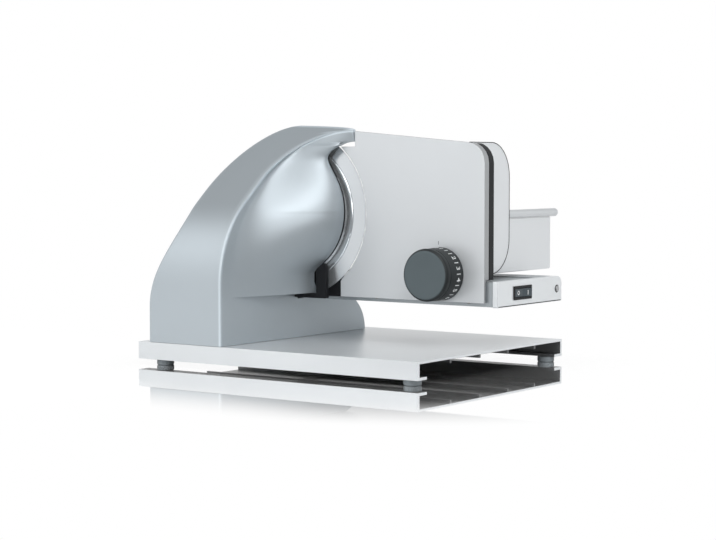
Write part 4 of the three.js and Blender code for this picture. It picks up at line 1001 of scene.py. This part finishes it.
def flat_text(words, height, depth):
    """The corner points and faces of a word as a thin solid, centred on its own middle."""
    curve = bpy.data.curves.new("word", "FONT")
    curve.body = words
    curve.size = height
    curve.extrude = depth / 2
    curve.align_x = "CENTER"
    curve.align_y = "CENTER"
    curve.resolution_u = 4
    word = bpy.data.objects.new("word", curve)
    bpy.context.scene.collection.objects.link(word)
    bpy.context.view_layer.update()
    mesh = bpy.data.meshes.new_from_object(word.evaluated_get(bpy.context.evaluated_depsgraph_get()))
    points = read_points(mesh)
    faces = [list(face.vertices) for face in mesh.polygons]
    bpy.data.objects.remove(word)
    bpy.data.curves.remove(curve)
    bpy.data.meshes.remove(mesh)
    return points, faces


BOX_FACES = [[0, 1, 3, 2], [4, 6, 7, 5], [0, 4, 5, 1], [2, 3, 7, 6], [0, 2, 6, 4], [1, 5, 7, 3]]


def flat_box(width, height, depth):
    """The corners and faces of a thin box, centred on its own middle."""
    signs = np.array([[i, j, k] for i in (-1, 1) for j in (-1, 1) for k in (-1, 1)])
    return signs * np.array([width, height, depth]) / 2, BOX_FACES


class SLICER_OT_scale(bpy.types.Operator):
    """Print the numbers and ticks round the dial"""

    bl_idname = "slicer.scale"
    bl_label = "Dial scale"

    def execute(self, context):
        size = context.scene.slicer_dial
        (centre_x, centre_z), radius, face, back = turned("dial")
        groove = face + 2 * size.edge + 2 * size.groove
        points, faces, start = [], [], 0
        for step in range(2 * size.marks + 1):
            if step % 2:
                shape, shape_faces = flat_box(size.tick_width, size.tick_length, 2 * size.print_height)
            else:
                shape, shape_faces = flat_text(str(step // 2), size.text, 2 * size.print_height)
            turn = math.pi / 2 - size.pitch * step / 2 - shape[:, 0] / radius
            y = back - size.row + shape[:, 1]
            flare = np.interp(y, [groove, back], [size.flare_front, size.flare_rear])
            reach = radius + flare + shape[:, 2]
            x, z = centre_x + reach * np.cos(turn), centre_z + reach * np.sin(turn)
            points.append(np.stack([x, y, z], axis=-1))
            faces += [[corner + start for corner in corners] for corners in shape_faces]
            start += len(shape)
        link(new_mesh("dial_scale", np.concatenate(points), faces), "dial", "print")
        return {"FINISHED"}


class SLICER_OT_marks(bpy.types.Operator):
    """Print the index line on the plate and the I and O on the rocker"""

    bl_idname = "slicer.marks"
    bl_label = "Index and switch marks"

    def execute(self, context):
        size = context.scene.slicer_marks
        print_height = context.scene.slicer_dial.print_height
        self.index(size, print_height)
        self.symbols(size, print_height)
        return {"FINISHED"}

    def index(self, size, print_height):
        """A short upright line above the dial."""
        (dial_x, dial_z), radius, _, _ = turned("dial")
        plate_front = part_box("stop_plate")[0].y
        shape, faces = flat_box(size.index_width, size.index_height, 2 * print_height)
        middle = dial_z + radius + size.index_gap + size.index_height / 2
        points = np.array([dial_x - size.index_shift, plate_front, middle]) + shape[:, [0, 2, 1]]
        link(new_mesh("plate_index", points, faces), "stop_plate", "index")

    def symbols(self, size, print_height):
        """An O on the pressed face and an I on the raised one, laid on the tilted faces."""
        pivot = np.array(JOINTS["rocker_tilt"]["pos_m"])
        turn = np.linspace(0, 2 * np.pi, size.facets, endpoint=False)[:, None]
        half = size.symbol / 2
        radii = np.array([half, half, half - size.line, half - size.line])
        depth = np.array([-1, 1, 1, -1]) * print_height + np.zeros_like(turn)
        ring = np.stack([radii * np.cos(turn), radii * np.sin(turn), depth], axis=-1)
        ring = grid_mesh("rocker_o", self.on_face(ring, pivot, size, -1), wrap_rows=True, wrap_columns=True)
        link(smooth(ring, 40), "rocker_button", "print")
        bar, faces = flat_box(size.line, size.symbol, 2 * print_height)
        link(new_mesh("rocker_i", self.on_face(bar, pivot, size, 1), faces), "rocker_button", "print")

    @staticmethod
    def on_face(shape, pivot, size, side):
        """Lays a flat shape (across, up, out) on one face of the rocker.

        A face leaves the rocker's middle at its slope; at rest the whole rocker is turned back by the tilt.
        """
        tilt = size.rocker_tilt
        along = size.offset * side + shape[..., 0]
        out = size.rocker_rise + np.abs(along) * math.tan(size.rocker_slope) + shape[..., 2]
        x = out * math.cos(tilt) + along * math.sin(tilt)
        y = along * math.cos(tilt) - out * math.sin(tilt)
        return np.stack([pivot[0] + x, pivot[1] + y, pivot[2] + shape[..., 1]], axis=-1)


EXTRUSIONS = ("base_profile", "guide_beam", "beam_end_cap")
SHEETS = ("stop_plate", "thumb_guard", "carriage_wall", "carriage_floor", "wall_rail", "blade_cover")
MOULDINGS = (
    "foot_front_left", "foot_front_right", "foot_rear_left", "foot_rear_right", "slice_guard",
    "lower_guard", "switch_frame", "rocker_button", "plate_edge_strip", "carriage_runner", "glide_pad",
    "beam_plug", "cord_gland", "dial_follower", "end_cap_screw",
)


class SLICER_OT_extrusions(bpy.types.Operator):
    """Soften the edges of the base, the beam and its cap"""

    bl_idname = "slicer.extrusions"
    bl_label = "Extrusions"

    def execute(self, context):
        for node in EXTRUSIONS:
            softened(node, context.scene.slicer_edges.extrusion)
        return {"FINISHED"}


class SLICER_OT_sheets(bpy.types.Operator):
    """Soften the edges of the plate, the guard and the carriage"""

    bl_idname = "slicer.sheets"
    bl_label = "Sheet metal"

    def execute(self, context):
        for node in SHEETS:
            softened(node, context.scene.slicer_edges.sheet)
        return {"FINISHED"}


def side_ring(name, outer, inner, near, far):
    """A ring between two closed outlines in the YZ plane, from one X to another."""
    loop = [(outer, near), (outer, far), (inner, far), (inner, near)]
    points = np.stack([np.column_stack([np.full(len(flat), x), flat]) for flat, x in loop], axis=1)
    return smooth(grid_mesh(name, points, wrap_rows=True, wrap_columns=True), 30)


class SLICER_OT_painted_shade(bpy.types.Operator):
    """Lay dark pieces as painted shade on the guard's edge, round the cap's screw, under the cap's face and behind
    the dome
    """

    bl_idname = "slicer.trim"
    bl_label = "Painted shade"

    def execute(self, context):
        size = context.scene.slicer_trim
        self.guard(size)
        self.screw(size)
        self.seam(size)
        self.dome(size)
        return {"FINISHED"}

    @staticmethod
    def dark(mesh, node):
        """Links a dark piece of painted shade that rides with a node's body."""
        link(mesh, node, "black_plastic")

    def guard(self, size):
        """A dark bead on the guard's edge, a painted shadow of the gap to the wall behind: its outline's four
        quarter circles, moved out and in.
        """
        low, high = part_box("thumb_guard")
        corner = np.repeat(np.arange(4), size.steps)
        rear = (corner == 0) | (corner == 3)
        radius = np.where(rear, size.guard_rear, size.guard_front)
        middle = np.stack([
            np.where(rear, high.y - radius, low.y + radius),
            np.where(corner < 2, high.z - radius, low.z + radius),
        ], axis=-1)
        turn = (np.tile(np.linspace(0, 1, size.steps), 4) + corner) * np.pi / 2
        way = np.stack([np.cos(turn), np.sin(turn)], axis=-1)
        outer = middle + way * (radius + size.proud)[:, None]
        inner = middle + way * (radius - size.bead)[:, None]
        self.dark(side_ring("guard_trim", outer, inner, low.x, high.x + size.proud), "thumb_guard")

    def screw(self, size):
        """A dark ring as painted shade in the clearance round the cap's screw: two circles about the screw's
        middle.
        """
        low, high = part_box("end_cap_screw")
        middle = np.array([(low.y + high.y) / 2, (low.z + high.z) / 2])
        turn = np.linspace(0, 2 * np.pi, 4 * size.steps, endpoint=False)
        way = np.stack([np.cos(turn), np.sin(turn)], axis=-1)
        radius = (high.z - low.z) / 2
        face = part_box("beam_end_cap")[1].x
        outer = middle + way * (radius + size.bead)
        inner = middle + way * (radius - size.proud)
        ring = side_ring("cap_screw_ring", outer, inner, face - size.bead, face + size.proud)
        self.dark(ring, "end_cap_screw")

    def seam(self, size):
        """A painted shadow line along the lower edge of the cap's face: a thin dark box, most of it sunk in."""
        low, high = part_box("beam_end_cap")
        shape, faces = flat_box(size.bead + size.proud, high.y - low.y - 2 * size.shadow_line_inset, size.seam)
        middle = (low + high) / 2
        points = shape + np.array([high.x + (size.proud - size.bead) / 2, middle.y, low.z + size.shadow_line_rise])
        self.dark(new_mesh("cap_seam", points, faces), "beam_end_cap")

    def dome(self, size):
        """A dark lip behind the dome's rear edge, as painted shadow in the gap to the blade: the same curve over
        the height, a little further in and flat.
        """
        form = HousingForm()
        z = closer_at_ends(form.dome_z + size.lip, form.nose_under - size.lip, size.rows)[:, None]
        outer = form.dome_right(z) - size.proud
        x = outer - np.array([0, 0, 1, 1]) * size.lip
        y = form.dome_y + np.array([0, 1, 1, 0]) * size.lip_depth + np.zeros_like(z)
        points = np.stack([x, y, np.broadcast_to(z, x.shape)], axis=-1)
        mesh = smooth(grid_mesh("dome_lip", points, wrap_columns=True, caps=True), 30)
        self.dark(mesh, "motor_housing")


class SLICER_OT_mouldings(bpy.types.Operator):
    """Soften the edges of the plastic and rubber pieces"""

    bl_idname = "slicer.mouldings"
    bl_label = "Mouldings"

    def execute(self, context):
        for node in MOULDINGS:
            softened(node, context.scene.slicer_edges.moulding)
        return {"FINISHED"}


class SLICER_OT_solids(bpy.types.Operator):
    """Give each CAD node its finish, also those inside the housing"""

    bl_idname = "slicer.solids"
    bl_label = "Inner pieces"

    def execute(self, context):
        for node, solid in frame["nodes"].items():
            solid.data.materials.clear()
            solid.data.materials.append(finish(SLOTS[node]))
        return {"FINISHED"}


class SLICER_OT_stage(bpy.types.Operator):
    """Set the floor, the light and the camera"""

    bl_idname = "slicer.stage"
    bl_label = "Stage"

    def execute(self, context):
        size = context.scene.slicer_stage
        context.scene.view_settings.view_transform = "Standard"
        self.floor(size)
        self.surround(context, size)
        self.lamps()
        self.camera(context, size)
        return {"FINISHED"}

    @staticmethod
    def shaped(n, way, size):
        """The brightness in a direction: more at the front left, less at the front right and overhead."""
        left, right, over = [
            n.spread(n.vector("DOT_PRODUCT", way, towards, "Value"), 0, most, start, end, "SMOOTHSTEP")
            for towards, most, start, end in (
                ((-0.58, -0.81, 0.05), size.left_gain, 0.45, 0.95),
                ((0.84, -0.54, 0.0), size.right_loss, 0.30, 0.90),
                ((0, 0, 1), size.top_loss, 0.30, 0.90),
            )
        ]
        return n.math("SUBTRACT", n.math("SUBTRACT", n.math("ADD", left, 1.0), right), over)

    def floor(self, size):
        """A white floor that mirrors the object at a low angle and fades out round it."""
        half = size.floor
        mesh = bpy.data.meshes.new("floor")
        corners = [(-half, -half, 0), (half, -half, 0), (half, half, 0), (-half, half, 0)]
        mesh.from_pydata(corners, [], [(0, 1, 2, 3)])
        floor = bpy.data.objects.new("floor", mesh)
        bpy.context.scene.collection.objects.link(floor)
        low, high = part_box("base_profile")
        n = Nodes("white_floor")
        n.sockets(Base_Color=(0.9, 0.9, 0.9, 1), Roughness=0.6)
        place = n.place((1, 1, 0), (low + high) / 2)
        aside = n.vector("ABSOLUTE", place)
        past = n.vector("SUBTRACT", aside, ((high.x - low.x) / 2, (high.y - low.y) / 2, 0))
        away = n.vector("LENGTH", n.vector("MAXIMUM", past, (0, 0, 0)), result="Value")
        fade = n.spread(away, size.mirror, 0.0, size.mirror_near, size.mirror_far, "SMOOTHSTEP")
        even = n.spread(away, 0.0, 1.0, 0.0, size.mirror_near)
        camera = n.new("ShaderNodeLightPath").outputs["Is Camera Ray"]
        glow = n.math("MAXIMUM", self.shaped(n, n.vector("NORMALIZE", place), size), camera)
        white = n.new("ShaderNodeEmission", {"Color": (1, 1, 1, 1), "Strength": glow}).outputs["Emission"]
        lit = n.blend(even, n.shader.outputs["BSDF"], white)
        mirror = n.new("ShaderNodeBsdfGlossy", {"Color": (1, 1, 1, 1), "Roughness": 0.02}).outputs["BSDF"]
        facing = n.new("ShaderNodeLayerWeight", {"Blend": 0.5}).outputs["Facing"]
        grazing = n.spread(facing, 0.0, 1.0, size.mirror_start, size.mirror_full, "SMOOTHSTEP")
        glossy = n.blend(n.math("MULTIPLY", fade, grazing), lit, mirror)
        both = n.blend(n.seen(), n.shader.outputs["BSDF"], glossy)
        n.tree.links.new(both, n.tree.nodes["Material Output"].inputs["Surface"])
        mesh.materials.append(n.material)

    def surround(self, context, size):
        """A white surround of uneven brightness, even white where the camera sees it."""
        n = Nodes("surround", bpy.data.worlds)
        context.scene.world = n.material
        way = n.new("ShaderNodeTexCoord").outputs["Generated"]
        mirrored = n.math("MULTIPLY", self.shaped(n, way, size), n.seen())
        soft = n.math("ADD", mirrored, n.spread(n.seen(), size.ambient, 0.0, 0, 1))
        camera = n.new("ShaderNodeLightPath").outputs["Is Camera Ray"]
        plain_white = n.math("MAXIMUM", soft, camera)
        limit = n.spread(camera, 2.0, 1.0, 0, 1)
        n.sockets(Color=(1, 1, 1, 1), Strength=n.math("MINIMUM", plain_white, limit))

    @staticmethod
    def lamps():
        """Soft lamps: at the upper left, beside the camera, low at the right and above the dome."""
        for name, place, aim, watts, side in (
            ("left_box", (-0.9, -1.0, 0.95), (0.0, -0.05, 0.15), 3, 0.9),
            ("camera_side", (0.86, -0.92, 1.05), (-0.05, -0.05, 0.15), 7.5, 0.6),
            ("right_strip", (1.3, -0.95, 0.35), (-0.05, -0.1, 0.15), 3, 0.4),
            ("top_strip", (0.42, -0.25, 1.4), (-0.05, -0.1, 0.2), 5.5, 0.9),
        ):
            lamp = bpy.data.lights.new(name, "AREA")
            lamp.energy = watts
            lamp.size = side
            holder = bpy.data.objects.new(name, lamp)
            bpy.context.scene.collection.objects.link(holder)
            holder.location = place
            towards = np.array(aim) - np.array(place)
            flat = math.hypot(towards[0], towards[1])
            holder.rotation_euler = (math.atan2(flat, -towards[2]), 0, math.atan2(-towards[0], towards[1]))

    @staticmethod
    def camera(context, size):
        """The photograph's view."""
        low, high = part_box("base_profile")
        middle = ((low.x + high.x) / 2, (low.y + high.y) / 2, 0)
        camera = bpy.data.cameras.new("camera")
        camera.sensor_fit = "HORIZONTAL"
        camera.sensor_width = size.sensor
        camera.lens = size.lens
        camera.clip_end = 100
        holder = bpy.data.objects.new("camera", camera)
        context.scene.collection.objects.link(holder)
        holder.location = [a + b for a, b in zip(middle, size.camera)]
        holder.rotation_euler = (math.pi / 2 - size.pitch, 0, size.azimuth)
        context.scene.camera = holder


OPERATORS = (
    SLICER_OT_solids,
    SLICER_OT_housing,
    SLICER_OT_blade,
    SLICER_OT_dial,
    SLICER_OT_scale,
    SLICER_OT_marks,
    SLICER_OT_extrusions,
    SLICER_OT_sheets,
    SLICER_OT_painted_shade,
    SLICER_OT_mouldings,
    SLICER_OT_stage,
)


class SLICER_PT_panel(bpy.types.Panel):
    """Lists the slicer's steps and settings"""

    bl_idname = "SLICER_PT_panel"
    bl_label = "Food Slicer"
    bl_space_type = "VIEW_3D"
    bl_region_type = "UI"
    bl_category = "Slicer"

    def draw(self, context):
        for operator in OPERATORS:
            self.layout.operator(operator.bl_idname)
        for name in SETTINGS:
            settings = getattr(context.scene, name)
            box = self.layout.box()
            box.label(text=name.replace("slicer_", "").capitalize())
            for key in settings.__annotations__:
                box.prop(settings, key)


SETTINGS = {
    "slicer_housing": HousingSettings,
    "slicer_blade": BladeSettings,
    "slicer_dial": DialSettings,
    "slicer_marks": MarkSettings,
    "slicer_trim": PaintedShadeSettings,
    "slicer_edges": EdgeSettings,
    "slicer_finish": FinishSettings,
    "slicer_stage": StageSettings,
}
CLASSES = (*SETTINGS.values(), *OPERATORS, SLICER_PT_panel)


def register():
    for cls in CLASSES:
        bpy.utils.register_class(cls)
    for name, group in SETTINGS.items():
        setattr(bpy.types.Scene, name, PointerProperty(type=group))


def unregister():
    for name in SETTINGS:
        delattr(bpy.types.Scene, name)
    for cls in reversed(CLASSES):
        bpy.utils.unregister_class(cls)


def main():
    register()
    for operator in OPERATORS:
        group, name = operator.bl_idname.split(".")
        getattr(getattr(bpy.ops, group), name)()


if __name__ == "__main__":
    main()
